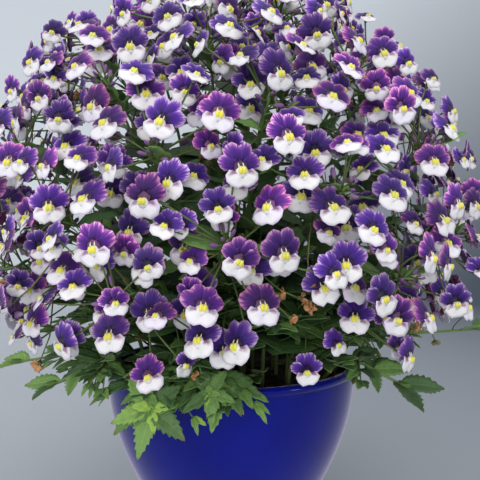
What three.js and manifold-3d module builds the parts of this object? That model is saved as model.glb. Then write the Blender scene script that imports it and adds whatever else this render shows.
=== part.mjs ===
// Potted nemesia: a glazed pot, its soil, flowering stems and leafy shoots.
// Millimetres, +Z up, origin at the middle of the pot's base, the plant's front towards -Y.

import * as THREE from 'three';
import { mergeVertices } from 'three/addons/utils/BufferGeometryUtils.js';
import Module from 'manifold-3d';

const wasm = await Module();
wasm.setup();

// Pot: the side is a quarter of a sine from the base out to the neck under the lip
const POT_HEIGHT = 112;
const POT_BASE_RADIUS = 40;
const POT_NECK_RADIUS = 86.2;
const POT_SIDE_POWER = 0.9;
const POT_WALL = 4;
const POT_FLOOR = 6;
const POT_EDGE_BEVEL = 1.6;
const POT_SIDES = 28;
const POT_LEVELS = 5;
const LIP_HEIGHT = 4.6;
const LIP_OVERHANG = 1.8;
const LIP_ROUNDING = 1.3;

// Soil: fills the pot's hollow with a small gap, level on top, with a blind hole for each stem
const SOIL_TOP = 104.5;
const SOIL_GAP = 0.3;
const HOLE_DEPTH = 12;
const HOLE_GAP = 0.35;

// Crown: a rounded form about a centre, squarer than a ball, with humps and hollows
const CROWN_CENTRE_HEIGHT = 190;
const CROWN_WIDTH = 166;
const CROWN_RISE = 166;
const CROWN_DROP = 100;
const CROWN_SQUARENESS = 2.4;
const CROWN_LOWEST_ANGLE = THREE.MathUtils.degToRad(109);
const CROWN_SWELLS = [
  { direction: [45, -60, 170], size: 0.06, spread: 0.3 },
  { direction: [-135, -60, 125], size: 0.05, spread: 0.3 },
  { direction: [-30, -60, 150], size: -0.07, spread: 0.18 },
  { direction: [95, -60, 120], size: -0.1, spread: 0.2 },
];

// Flowering stems, three-sided
const STEM_SIDES = 3;
const STEM_COUNT = 42;
const STEM_FOOT_SPREAD = 66;
const STEM_TIP_DEPTH = 11;
const STEM_TIP_LOWEST_ANGLE = THREE.MathUtils.degToRad(101);
const STEM_FOOT_RADIUS = 1.8;
const STEM_NECK_RADIUS = 1.5;
const STEM_COLLAR = 3;
const STEM_STEPS = 3;
const STEM_BEND_SPREAD = 1.12;
const STEM_BEND_RISE = 0.5;
const STEM_BEND_REACH = 0.22;
const STEM_BEND_LOWEST = 14;
const BUD_RADIUS = 2.3;
const BUD_LENGTH = 6;
const BUD_WIDEST = 0.45;

// Spread of stems and blooms over the crown, closer together towards its front and its top
const GOLDEN_ANGLE = Math.PI * (3 - Math.sqrt(5));
const FRONT_PULL = 0.42;
const TOP_PULL = 1.15;

// Blooms: where they sit under the crown's surface and how they face
const BLOOM_COUNT = 326;
const BLOOM_ATTEMPTS = 40;
const BLOOM_SEED = 45000;
const BLOOM_SHALLOWEST = 4;
const BLOOM_DEPTH = 36;
const BLOOM_DEPTH_POWER = 1.5;
const BLOOM_WANDER = 0.06;
const BLOOM_WANDER_STEP = 0.005;
const BLOOM_LOWEST = 125;
const BLOOM_TOP_SIZE = 0.8;
const BLOOM_LIGHT_PULL = 0.5;
const BLOOM_TURN = 0.72;
const BLOOM_LEVEL_PITCH = 2;
const BLOOM_TOP_PITCH = 8;
const BLOOM_PITCH_SPREAD = 34;
const BLOOM_ROLL_SPREAD = 34;
const BLOOM_MARGIN = 0.35;
const OPEN_PATCH = { centre: new THREE.Vector3(26, -125, 150), radius: 27 };

// Bloom outline from the top lobe down one side, as across, up and forward
const BLOOM_SIDE = [
  [4.7, 9.7, -2.0],
  [9.0, 3.7, -2.1],
  [4.5, -0.9, 0.2],
  [7.1, -5.8, 1.2],
];
const BLOOM_BOTTOM = [0, -8.9, 1.8];
const PALATE = [0, -1.5, 2.8];

// Flat round regions that stand for a bloom when room is made for it: across, up, forward, radius
const BLOOM_REGIONS = [
  [-3.7, 6.2, -1.0, 3.9],
  [3.7, 6.2, -1.0, 3.9],
  [-5.9, 3.0, -1.1, 3.5],
  [5.9, 3.0, -1.1, 3.5],
  [-3.8, -4.8, 1.0, 4.0],
  [3.8, -4.8, 1.0, 4.0],
  [0, -5.4, 1.2, 3.6],
  [0, 0, 0, 4.1],
];
const BLOOM_HALF_DEPTH = 2.1;

// Calyx and pedicel, and where on a stem a pedicel may grow from
const CALYX_DEPTH = 4.4;
const CALYX_RADIUS = 1.1;
const CALYX_CORNERS = [90, 210, 330];
const PEDICEL_RADIUS = 0.75;
const PEDICEL_ROOT_RADIUS = 0.35;
const PEDICEL_SHORTEST = 7;
const PEDICEL_LONGEST = 50;
const PEDICEL_FREE_START = 2.5;
const PEDICEL_MARGIN = 0.3;
const ROOT_SPACING = 3;
const ROOT_LOWEST = 18;
const ROOT_HIGHEST = 48;
const ROOT_PLACES = 50;
const ROOT_BACKWARD_LIMIT = -0.35;
const EASY_FORWARD = 0.3;
const EASY_UPWARD = 0.35;
const FORWARD_WEIGHT = 0.9;
const UPWARD_WEIGHT = 0.7;

// Leaves: half of the outline is given as shares of the half width and of the length
const LEAF_THICKNESS = 0.8;
const LEAF_FOLD = 0.28;
const LEAF_LIGHT_PULL = 0.6;
const LEAF_HANG = 0.5;
const LEAF_SLIMNESS = 0.44;
const LEAF_SIDE = [
  [1.0, 0.36],
  [0.76, 0.47],
  [0.78, 0.64],
];
const LEAF_RIB = 0.5;
const LEAF_ROUNDS = [
  [0.3, 1],
  [0.55, 1],
  [0.8, 0.75],
];
const LEAF_HALF_DEPTH = 1.3;
const LEAF_MARGIN = 0.4;
const LEAF_POT_MARGIN = 1;
const LEAF_SEED = 8100;
const LEAF_ATTEMPTS = 9;

// Pairs of leaves on the outer flowering stems
const FIRST_LEAFY_STEM = 24;
const STEM_LEAF_PLACE = 0.52;
const STEM_LEAF_PLACE_SPREAD = 0.04;
const STEM_LEAF_LENGTH = [20, 30];
const STEM_LEAF_SHRINK = 0.04;
const STEM_LEAF_CLIMB = 45;
const STEM_LEAF_TURN = 0.5;
const STEM_LEAF_DROOP = 5;

// Leafy shoots at the soil's edge: bearing in degrees, reach and height of the tip, sideways bend
// and the number of leaf pairs
const SHOOT_RADIUS = 1.7;
const SHOOT_TIP_RADIUS = 1.2;
const SHOOT_FOOT_SPREAD = 73;
const SHOOT_CREST = 122;
const SHOOT_CREST_INSIDE = 3;
const SHOOT_CREST_OUTSIDE = 8;
const SHOOT_EARLY_BEND = 0.3;
const SHOOT_SEED = 8600;
const SHOOT_LEAF_PLACES = [0.6, 0.96];
const SHOOT_LEAF_LENGTH = [18, 28];
const SHOOT_LEAF_SHRINK = 0.03;
const SHOOT_LEAF_FORWARD = [0.35, 0.75];
const SHOOT_TIP_FORWARD = 0.7;
const SHOOT_LEAF_LIFT = [-0.1, 0.45];
const SHOOT_LIFT_STEP = 0.08;
const SHOOT_LEAF_SIDEWAYS = [1, 0.6];
const SHOOT_LEAF_DROOP = 6;
const PAIR_SHIFT = 0.018;
const SHOOTS = [
  { bearing: -113, reach: 104, tip: 106, bend: -4, pairs: 4 },
  { bearing: -94, reach: 97, tip: 117, bend: 3, pairs: 2 },
  { bearing: -143, reach: 124, tip: 110, bend: -5, pairs: 3 },
  { bearing: -167, reach: 144, tip: 116, bend: 4, pairs: 3 },
  { bearing: 166, reach: 136, tip: 110, bend: -6, pairs: 2 },
  { bearing: 137, reach: 134, tip: 116, bend: 6, pairs: 2 },
  { bearing: 108, reach: 140, tip: 110, bend: -5, pairs: 2 },
  { bearing: 79, reach: 132, tip: 118, bend: 5, pairs: 2 },
  { bearing: 48, reach: 140, tip: 112, bend: -5, pairs: 2 },
  { bearing: 19, reach: 136, tip: 114, bend: 6, pairs: 2 },
  { bearing: -12, reach: 166, tip: 138, bend: -3, pairs: 3 },
  { bearing: -38, reach: 122, tip: 110, bend: 6, pairs: 3 },
];

// Colours and finishes
const GLAZE = { color: 0x14188a, roughness: 0.12, metalness: 0 };
const SOIL = { color: 0x2c2119, roughness: 0.95, metalness: 0 };
const PETAL = { color: 0x6a3c96, roughness: 0.6, metalness: 0 };
const FOLIAGE = { color: 0x3f6e2c, roughness: 0.6, metalness: 0 };

const UP = new THREE.Vector3(0, 0, 1);
const FLATNESS = 0.01;
const SAME_POINT = 1e-4;
const ROOM_CELL = 14;
const ROOM_SPACING = 2;

// Repeatable random numbers from 0 to 1
function makeRandom(seed) {
  let state = seed >>> 0;
  return () => {
    state = (state + 0x6d2b79f5) >>> 0;
    let mixed = Math.imul(state ^ (state >>> 15), state | 1);
    mixed ^= mixed + Math.imul(mixed ^ (mixed >>> 7), mixed | 61);
    return ((mixed ^ (mixed >>> 14)) >>> 0) / 4294967296;
  };
}

function between(low, high, share) {
  return low + (high - low) * share;
}

function atBearing(bearing, radius, height) {
  return new THREE.Vector3(radius * Math.cos(bearing), radius * Math.sin(bearing), height);
}

function cellOf(point) {
  return [point.x, point.y, point.z].map((value) => Math.floor(value / ROOM_CELL));
}

function cellsAround(point) {
  const [x, y, z] = cellOf(point);
  const steps = [-1, 0, 1];
  return steps.flatMap((i) => steps.flatMap((j) => steps.map((k) => [x + i, y + j, z + k])));
}

// Room keeper: remembers flat round regions and says whether a new one is clear of the others
class Room {
  constructor() {
    this.cells = new Map();
  }

  add(region) {
    const key = cellOf(region.point).join();
    if (!this.cells.has(key)) {
      this.cells.set(key, []);
    }
    this.cells.get(key).push(region);
  }

  isClear(region, owner, margin) {
    return cellsAround(region.point).every((cell) => {
      const others = this.cells.get(cell.join()) ?? [];
      return others.every((other) => other.owner === owner || apart(region, other, margin));
    });
  }
}

// How far a flat round region reaches from its middle along a direction
function reachAlong(region, direction) {
  const lean = Math.min(1, Math.abs(direction.dot(region.normal)));
  return region.half * lean + region.radius * Math.sqrt(1 - lean * lean);
}

function apart(first, second, margin) {
  const offset = second.point.clone().sub(first.point);
  const distance = offset.length();
  if (distance < SAME_POINT) {
    return false;
  }
  const directions = [offset.clone().divideScalar(distance), first.normal, second.normal];
  return directions.some((direction) => {
    const needed = reachAlong(first, direction) + reachAlong(second, direction) + margin;
    return Math.abs(offset.dot(direction)) > needed;
  });
}

function roundRegions(from, to, radius, owner) {
  const steps = Math.max(1, Math.round(from.distanceTo(to) / ROOM_SPACING));
  const regions = [];
  for (let step = 0; step <= steps; step += 1) {
    const point = from.clone().lerp(to, step / steps);
    regions.push({ point, normal: UP, radius, half: radius, owner });
  }
  return regions;
}

// Solid helpers
function geometryFrom(points, triangles) {
  const geometry = new THREE.BufferGeometry();
  const numbers = points.flatMap((point) => point.toArray());
  geometry.setAttribute('position', new THREE.Float32BufferAttribute(numbers, 3));
  geometry.setIndex(triangles.flat());
  return geometry;
}

function solidFrom(geometry) {
  const bare = geometry.clone();
  bare.deleteAttribute('normal');
  bare.deleteAttribute('uv');
  const merged = mergeVertices(bare, SAME_POINT);
  const vertProperties = new Float32Array(merged.attributes.position.array);
  const triVerts = new Uint32Array(merged.index.array);
  return new wasm.Manifold(new wasm.Mesh({ numProp: 3, vertProperties, triVerts }));
}

function geometryOf(solid) {
  const mesh = solid.getMesh();
  const geometry = new THREE.BufferGeometry();
  geometry.setAttribute('position', new THREE.BufferAttribute(mesh.vertProperties.slice(), 3));
  geometry.setIndex([...mesh.triVerts]);
  return geometry;
}

// Joins solids that cross, and drops the needless corners that the joins leave on flat faces
function fuse(solids) {
  const whole = solids.reduce((joined, solid) => joined.add(solid));
  return whole.asOriginal().simplify(FLATNESS);
}

// A three-sided tube with straight stretches through the points, each ring as wide as its radius
function tube(points, radii, sideways) {
  const rings = points.map((point, index) => {
    const before = points[Math.max(0, index - 1)];
    const after = points[Math.min(points.length - 1, index + 1)];
    const along = after.clone().sub(before).normalize();
    const across = sideways.clone().addScaledVector(along, -sideways.dot(along)).normalize();
    const over = along.clone().cross(across);
    const ring = [];
    for (let side = 0; side < STEM_SIDES; side += 1) {
      const angle = (2 * Math.PI * side) / STEM_SIDES;
      const offset = across.clone().multiplyScalar(Math.cos(angle)).addScaledVector(over, Math.sin(angle));
      ring.push(point.clone().addScaledVector(offset, radii[index]));
    }
    return ring;
  });
  const triangles = [];
  for (let ring = 0; ring + 1 < rings.length; ring += 1) {
    for (let side = 0; side < STEM_SIDES; side += 1) {
      const next = (side + 1) % STEM_SIDES;
      const low = ring * STEM_SIDES;
      const high = low + STEM_SIDES;
      triangles.push([low + side, low + next, high + next], [low + side, high + next, high + side]);
    }
  }
  triangles.push([0, 2, 1]);
  return { vertices: rings.flat(), triangles, last: (rings.length - 1) * STEM_SIDES };
}

function tubeSolid(points, radii, sideways) {
  const { vertices, triangles, last } = tube(points, radii, sideways);
  return solidFrom(geometryFrom(vertices, [...triangles, [last, last + 1, last + 2]]));
}

// The same tube with a point past its last ring
function pointedTubeSolid(points, radii, sideways, end) {
  const { vertices, triangles, last } = tube(points, radii, sideways);
  for (let side = 0; side < STEM_SIDES; side += 1) {
    triangles.push([last + side, last + ((side + 1) % STEM_SIDES), vertices.length]);
  }
  return solidFrom(geometryFrom([...vertices, end], triangles));
}

// Pot and soil
function potSideRadius(height) {
  const share = THREE.MathUtils.clamp(height / POT_HEIGHT, 0, 1);
  const swell = Math.sin((Math.PI / 2) * share ** POT_SIDE_POWER);
  return between(POT_BASE_RADIUS, POT_NECK_RADIUS, swell);
}

function levels(low, high, count) {
  return Array.from({ length: count }, (_, index) => between(low, high, index / (count - 1)));
}

function lathe(profile) {
  const points = profile.map(([radius, height]) => new THREE.Vector2(radius, height));
  return new THREE.LatheGeometry(points, POT_SIDES).rotateX(Math.PI / 2);
}

function potGeometry() {
  const neck = POT_HEIGHT - LIP_HEIGHT;
  const lipRadius = POT_NECK_RADIUS + LIP_OVERHANG;
  const innerTop = POT_NECK_RADIUS - POT_WALL;
  const outside = levels(POT_EDGE_BEVEL, neck, POT_LEVELS)
    .map((height) => [potSideRadius(height), height]);
  const inside = levels(POT_FLOOR, neck, POT_LEVELS)
    .map((height) => [potSideRadius(height) - POT_WALL, height])
    .reverse();
  return lathe([
    [0, 0],
    [POT_BASE_RADIUS - POT_EDGE_BEVEL, 0],
    ...outside,
    [lipRadius, neck + LIP_ROUNDING],
    [lipRadius, POT_HEIGHT - LIP_ROUNDING],
    [lipRadius - LIP_ROUNDING, POT_HEIGHT],
    [innerTop + LIP_ROUNDING, POT_HEIGHT],
    [innerTop, POT_HEIGHT - LIP_ROUNDING],
    ...inside,
    [0, POT_FLOOR],
  ]);
}

function soilGeometry(grown) {
  const bottom = POT_FLOOR + SOIL_GAP;
  const side = levels(bottom, SOIL_TOP, POT_LEVELS)
    .map((height) => [potSideRadius(height) - POT_WALL - SOIL_GAP, height]);
  const plug = lathe([[0, bottom], ...side, [0, SOIL_TOP]]);
  const holes = grown.map(({ foot, footRadius, sideways }) => {
    const low = foot.clone().addScaledVector(UP, -HOLE_GAP);
    const high = low.clone().addScaledVector(UP, 2 * HOLE_DEPTH);
    const across = footRadius + HOLE_GAP / Math.cos(Math.PI / STEM_SIDES);
    return tubeSolid([low, high], [across, across], sideways);
  });
  return geometryOf(solidFrom(plug).subtract(fuse(holes)).asOriginal().simplify(FLATNESS));
}

// True where a point is clear of the pot and the soil by a margin
function clearOfPot(point, margin) {
  const radius = Math.hypot(point.x, point.y);
  if (point.z > POT_HEIGHT + margin) {
    return true;
  }
  if (radius < POT_NECK_RADIUS - POT_WALL - margin) {
    return point.z > SOIL_TOP + margin;
  }
  return radius > potSideRadius(point.z) + LIP_OVERHANG + margin;
}

// Crown form
function bearingOf(index) {
  const even = index * GOLDEN_ANGLE;
  return even - FRONT_PULL * Math.cos(even);
}

function crownRadius(direction) {
  const level = Math.hypot(direction.x, direction.y) / CROWN_WIDTH;
  const upright = Math.abs(direction.z) / (direction.z > 0 ? CROWN_RISE : CROWN_DROP);
  const plain = (level ** CROWN_SQUARENESS + upright ** CROWN_SQUARENESS) ** (-1 / CROWN_SQUARENESS);
  const swell = CROWN_SWELLS.reduce((sum, { direction: place, size, spread }) => {
    const angle = direction.angleTo(new THREE.Vector3(...place));
    return sum + size * Math.exp(-((angle / spread) ** 2));
  }, 0);
  return plain * (1 + swell);
}

function crownPoint(direction, depth) {
  const point = direction.clone().multiplyScalar(crownRadius(direction) - depth);
  point.z += CROWN_CENTRE_HEIGHT;
  return point;
}

// Height in the crown as a share, from its centre up
function crownHeight(point) {
  return Math.max(0, (point.z - CROWN_CENTRE_HEIGHT) / CROWN_RISE);
}

// The direction of one of many spread places, from the top down to the lowest angle
function spreadDirection(index, count, lowestAngle) {
  const height = 1 - (1 - Math.cos(lowestAngle)) * ((index + 0.5) / count) ** TOP_PULL;
  const level = Math.sqrt(1 - height * height);
  const bearing = bearingOf(index);
  return new THREE.Vector3(level * Math.cos(bearing), level * Math.sin(bearing), height);
}

// Flowering stems: upright in the soil, then a curve outward to the crown
function layOutStem(index) {
  const bearing = bearingOf(index);
  const spread = STEM_FOOT_SPREAD * Math.sqrt((index + 0.5) / STEM_COUNT);
  const foot = atBearing(bearing, spread, SOIL_TOP - HOLE_DEPTH);
  const collar = atBearing(bearing, spread, SOIL_TOP + STEM_COLLAR);
  const tip = crownPoint(spreadDirection(index, STEM_COUNT, STEM_TIP_LOWEST_ANGLE), STEM_TIP_DEPTH);
  const rise = STEM_BEND_RISE * (tip.z - collar.z) + STEM_BEND_REACH * Math.hypot(tip.x, tip.y);
  const bend = atBearing(bearing, spread * STEM_BEND_SPREAD, collar.z + Math.max(STEM_BEND_LOWEST, rise));
  const curve = new THREE.QuadraticBezierCurve3(collar, bend, tip);
  const sideways = atBearing(bearing + Math.PI / 2, 1, 0);
  return {
    owner: `stem ${index}`,
    foot,
    footRadius: STEM_FOOT_RADIUS,
    points: curve.getPoints(STEM_STEPS),
    sideways,
    blooms: [],
    leaves: [],
  };
}

function pointOnStem(stem, share) {
  const place = share * (stem.points.length - 1);
  const step = Math.min(stem.points.length - 2, Math.floor(place));
  return stem.points[step].clone().lerp(stem.points[step + 1], place - step);
}

function stemRegions(stem, radius) {
  const stretches = stem.points.slice(1).map((point, index) => [stem.points[index], point]);
  return stretches.flatMap(([from, to]) => roundRegions(from, to, radius, stem.owner));
}

function stemSolid(stem) {
  const tip = stem.points[stem.points.length - 1];
  const along = tip.clone().sub(stem.points[stem.points.length - 2]).normalize();
  const bud = tip.clone().addScaledVector(along, BUD_LENGTH * BUD_WIDEST);
  const budEnd = tip.clone().addScaledVector(along, BUD_LENGTH);
  const points = [stem.foot, ...stem.points, bud];
  const radii = [STEM_FOOT_RADIUS, ...stem.points.map((_, index) => (
    between(STEM_FOOT_RADIUS, STEM_NECK_RADIUS, index / STEM_STEPS)
  )), BUD_RADIUS];
  return pointedTubeSolid(points, radii, stem.sideways, budEnd);
}

// Blooms
function bloomFrame(random, point) {
  const level = new THREE.Vector3(point.x, point.y, 0).divideScalar(CROWN_WIDTH);
  level.x += between(-BLOOM_TURN, BLOOM_TURN, random());
  level.y += between(-BLOOM_TURN, BLOOM_TURN, random()) - BLOOM_LIGHT_PULL;
  const bearing = Math.atan2(level.y, level.x);
  const lean = between(BLOOM_LEVEL_PITCH, BLOOM_TOP_PITCH, crownHeight(point) ** 2);
  const pitch = THREE.MathUtils.degToRad(lean + BLOOM_PITCH_SPREAD * (random() - 0.5));
  const roll = THREE.MathUtils.degToRad(BLOOM_ROLL_SPREAD * (random() - 0.5));
  const facing = atBearing(bearing, Math.cos(pitch), Math.sin(pitch));
  const flatRight = UP.clone().cross(facing).normalize();
  const flatUp = facing.clone().cross(flatRight);
  const right = flatRight.clone().multiplyScalar(Math.cos(roll)).addScaledVector(flatUp, Math.sin(roll));
  const up = facing.clone().cross(right);
  return { facing, right, up };
}

function pointOnBloom({ centre, frame, size }, [across, upward, forward]) {
  return centre.clone()
    .addScaledVector(frame.right, size * across)
    .addScaledVector(frame.up, size * upward)
    .addScaledVector(frame.facing, size * forward);
}

function bloomRegions(bloom) {
  return BLOOM_REGIONS.map(([across, upward, forward, radius]) => ({
    point: pointOnBloom(bloom, [across, upward, forward]),
    normal: bloom.frame.facing,
    radius: bloom.size * radius,
    half: BLOOM_HALF_DEPTH,
    owner: 'bloom',
  }));
}

function proposeBloom(index, attempt, random) {
  const place = spreadDirection(index, BLOOM_COUNT, CROWN_LOWEST_ANGLE);
  const wander = BLOOM_WANDER + BLOOM_WANDER_STEP * attempt;
  place.x += between(-wander, wander, random());
  place.y += between(-wander, wander, random());
  place.z += between(-wander, wander, random());
  const depth = BLOOM_SHALLOWEST + BLOOM_DEPTH * random() ** BLOOM_DEPTH_POWER;
  const centre = crownPoint(place.normalize(), depth);
  const frame = bloomFrame(random, centre);
  const size = between(1, BLOOM_TOP_SIZE, crownHeight(centre) ** 2);
  return { centre, frame, size, calyx: centre.clone().addScaledVector(frame.facing, -CALYX_DEPTH) };
}

// How hard it is for a stem to carry a bloom from a root: a long pedicel is, and one that comes
// from beside or above the bloom
function rootCost(bloom, root) {
  const pedicel = bloom.calyx.clone().sub(root);
  const length = pedicel.length();
  const forward = pedicel.dot(bloom.frame.facing) / length;
  const upward = pedicel.z / length;
  if (length < PEDICEL_SHORTEST || length > PEDICEL_LONGEST || forward < ROOT_BACKWARD_LIMIT) {
    return Infinity;
  }
  const turned = FORWARD_WEIGHT * Math.max(0, EASY_FORWARD - forward);
  const lowered = UPWARD_WEIGHT * Math.max(0, EASY_UPWARD - upward);
  return length * (1 + turned + lowered);
}

// The stem, and the place on it, that a bloom's pedicel grows from most easily
function bestRoot(bloom, stems) {
  let best = { cost: Infinity };
  stems.forEach((stem) => {
    for (let place = ROOT_LOWEST; place <= ROOT_HIGHEST; place += 1) {
      const root = pointOnStem(stem, place / ROOT_PLACES);
      const cost = rootCost(bloom, root);
      const taken = stem.blooms.some((other) => other.root.distanceTo(root) < ROOT_SPACING);
      if (cost < best.cost && !taken) {
        best = { cost, stem, root };
      }
    }
  });
  return best;
}

function tryBloom(bloom, stems, room) {
  if (bloom.centre.z < BLOOM_LOWEST || bloom.centre.distanceTo(OPEN_PATCH.centre) < OPEN_PATCH.radius) {
    return false;
  }
  const regions = bloomRegions(bloom);
  if (!regions.every((region) => room.isClear(region, null, BLOOM_MARGIN))) {
    return false;
  }
  const { stem, root } = bestRoot(bloom, stems);
  if (!stem) {
    return false;
  }
  const start = root.clone().lerp(bloom.calyx, PEDICEL_FREE_START / root.distanceTo(bloom.calyx));
  const pedicel = roundRegions(start, bloom.calyx, PEDICEL_RADIUS, stem.owner);
  if (!pedicel.every((region) => room.isClear(region, stem.owner, PEDICEL_MARGIN))) {
    return false;
  }
  regions.concat(pedicel).forEach((region) => room.add(region));
  stem.blooms.push({ ...bloom, root });
  return true;
}

function layOutBloom(index, stems, room) {
  const random = makeRandom(BLOOM_SEED + index);
  for (let attempt = 0; attempt < BLOOM_ATTEMPTS; attempt += 1) {
    if (tryBloom(proposeBloom(index, attempt, random), stems, room)) {
      return;
    }
  }
}

function bloomOutline() {
  const left = BLOOM_SIDE.map(([across, upward, forward]) => [-across, upward, forward]);
  return [...left, BLOOM_BOTTOM, ...[...BLOOM_SIDE].reverse()];
}

function threePoints(centre, along, across, radius) {
  const right = across.clone().addScaledVector(along, -across.dot(along)).normalize();
  const up = along.clone().cross(right);
  return CALYX_CORNERS.map((degrees) => {
    const angle = THREE.MathUtils.degToRad(degrees);
    return centre.clone()
      .addScaledVector(right, radius * Math.cos(angle))
      .addScaledVector(up, radius * Math.sin(angle));
  });
}

// A bloom is a fan from its palate to the outline in front and to its calyx behind, on a pedicel
function bloomSolid(bloom) {
  const outline = bloomOutline();
  const count = outline.length;
  const corners = CALYX_CORNERS.length;
  const along = bloom.calyx.clone().sub(bloom.root).normalize();
  const lean = bloom.frame.facing.clone().add(along).normalize();
  const vertices = [
    pointOnBloom(bloom, PALATE),
    ...outline.map((point) => pointOnBloom(bloom, point)),
    ...threePoints(bloom.calyx, lean, bloom.frame.right, CALYX_RADIUS),
    ...threePoints(bloom.root, lean, bloom.frame.right, PEDICEL_ROOT_RADIUS),
  ];
  const calyx = count + 1;
  const root = calyx + corners;
  const nearest = (index) => Math.floor((index % count) / (count / corners));
  const triangles = [];
  for (let index = 1; index <= count; index += 1) {
    const next = (index % count) + 1;
    const own = nearest(index);
    const following = nearest(next);
    triangles.push([0, index, next], [next, index, calyx + own]);
    if (own !== following) {
      triangles.push([calyx + following, next, calyx + own]);
    }
  }
  for (let side = 0; side < corners; side += 1) {
    const next = (side + 1) % corners;
    triangles.push([calyx + side, root + side, root + next], [calyx + side, root + next, calyx + next]);
  }
  triangles.push([root, root + 2, root + 1]);
  return solidFrom(geometryFrom(vertices, triangles));
}

// Leaves
function makeLeaf(owner, root, heading, length, droop) {
  const outward = new THREE.Vector3(root.x, root.y, 0).normalize();
  const facing = UP.clone().addScaledVector(outward, LEAF_HANG);
  facing.y -= LEAF_LIGHT_PULL;
  const normal = facing.addScaledVector(heading, -facing.dot(heading)).normalize();
  const side = heading.clone().cross(normal);
  return { owner, root, heading, normal, side, length, halfWidth: (length * LEAF_SLIMNESS) / 2, droop };
}

// A place on a leaf: share of the half width, share of the length, and height over the blade
function leafPoint(leaf, across, share, over) {
  const raised = over + LEAF_FOLD * Math.abs(across) * leaf.halfWidth;
  const point = leaf.root.clone()
    .addScaledVector(leaf.heading, leaf.length * share)
    .addScaledVector(leaf.side, leaf.halfWidth * across)
    .addScaledVector(leaf.normal, raised);
  point.z -= leaf.droop * share * share;
  return point;
}

function leafRegions(leaf) {
  return LEAF_ROUNDS.map(([share, width]) => ({
    point: leafPoint(leaf, 0, share, 0),
    normal: leaf.normal,
    radius: leaf.halfWidth * width,
    half: LEAF_HALF_DEPTH,
    owner: leaf.owner,
  }));
}

function leafFits(leaf, room) {
  const otherSide = LEAF_SIDE.map(([across, share]) => [-across, share]);
  const edge = [[0, LEAF_RIB], [0, 1], ...LEAF_SIDE, ...otherSide];
  const overPot = edge.every(([across, share]) => (
    clearOfPot(leafPoint(leaf, across, share, -LEAF_THICKNESS), LEAF_POT_MARGIN)
  ));
  return overPot && leafRegions(leaf).every((region) => room.isClear(region, leaf.owner, LEAF_MARGIN));
}

// Takes the first of several proposed leaves that fits
function growLeaf(plantPart, propose, room) {
  for (let attempt = 0; attempt < LEAF_ATTEMPTS; attempt += 1) {
    const leaf = propose(attempt);
    if (leafFits(leaf, room)) {
      leafRegions(leaf).forEach((region) => room.add(region));
      plantPart.leaves.push(leaf);
      return;
    }
  }
}

// A folded blade between a ridge of three points and its two toothed edges
function leafSolid(leaf) {
  const vertices = [
    leafPoint(leaf, 0, 0, LEAF_THICKNESS / 2),
    leafPoint(leaf, 0, 0, -LEAF_THICKNESS / 2),
    leafPoint(leaf, 0, LEAF_RIB, 0),
    leafPoint(leaf, 0, LEAF_RIB, -LEAF_THICKNESS),
    leafPoint(leaf, 0, 1, 0),
    ...LEAF_SIDE.map(([across, share]) => leafPoint(leaf, across, share, 0)),
    ...LEAF_SIDE.map(([across, share]) => leafPoint(leaf, -across, share, 0)),
  ];
  const [baseTop, baseUnder, rib, underRib, tip, right, left] = [0, 1, 2, 3, 4, 5, 8];
  return solidFrom(geometryFrom(vertices, [
    [baseTop, right, rib],
    [rib, right, right + 1],
    [rib, right + 1, right + 2],
    [rib, right + 2, tip],
    [baseTop, rib, left],
    [rib, left + 1, left],
    [rib, left + 2, left + 1],
    [rib, tip, left + 2],
    [baseUnder, underRib, right],
    [underRib, right + 1, right],
    [underRib, right + 2, right + 1],
    [underRib, tip, right + 2],
    [baseUnder, left, underRib],
    [underRib, left, left + 1],
    [underRib, left + 1, left + 2],
    [underRib, left + 2, tip],
    [baseTop, baseUnder, right],
    [baseTop, left, baseUnder],
  ]));
}

// A pair of opposite leaves on an outer flowering stem, where there is room
function layOutStemLeaves(stem, index, room) {
  const random = makeRandom(LEAF_SEED + index);
  [0, Math.PI].forEach((opposite) => {
    const root = pointOnStem(stem, STEM_LEAF_PLACE + STEM_LEAF_PLACE_SPREAD * random());
    growLeaf(stem, (attempt) => {
      const bearing = index + opposite + STEM_LEAF_TURN * attempt * (random() - 0.5);
      const climb = THREE.MathUtils.degToRad(STEM_LEAF_CLIMB * random());
      const heading = atBearing(bearing, Math.cos(climb), Math.sin(climb));
      const length = between(...STEM_LEAF_LENGTH, random()) * (1 - STEM_LEAF_SHRINK * attempt);
      return makeLeaf(stem.owner, root, heading, length, STEM_LEAF_DROOP * random());
    }, room);
  });
}

// Leafy shoots: out of the soil's edge, over the rim, then out and down
function layOutShoot({ bearing, reach, tip, bend, pairs }, index) {
  const angle = THREE.MathUtils.degToRad(bearing);
  const sideways = atBearing(angle + Math.PI / 2, 1, 0);
  const crest = Math.max(SHOOT_CREST, (SHOOT_CREST + tip) / 2);
  const points = [
    atBearing(angle, SHOOT_FOOT_SPREAD, SOIL_TOP + STEM_COLLAR),
    atBearing(angle, POT_NECK_RADIUS - SHOOT_CREST_INSIDE, crest - SHOOT_CREST_INSIDE),
    atBearing(angle, POT_NECK_RADIUS + SHOOT_CREST_OUTSIDE, crest)
      .addScaledVector(sideways, bend * SHOOT_EARLY_BEND),
    atBearing(angle, reach, tip).addScaledVector(sideways, bend),
  ];
  return {
    owner: `shoot ${index}`,
    foot: atBearing(angle, SHOOT_FOOT_SPREAD, SOIL_TOP - HOLE_DEPTH),
    footRadius: SHOOT_RADIUS,
    points,
    sideways,
    pairs,
    leaves: [],
  };
}

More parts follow.
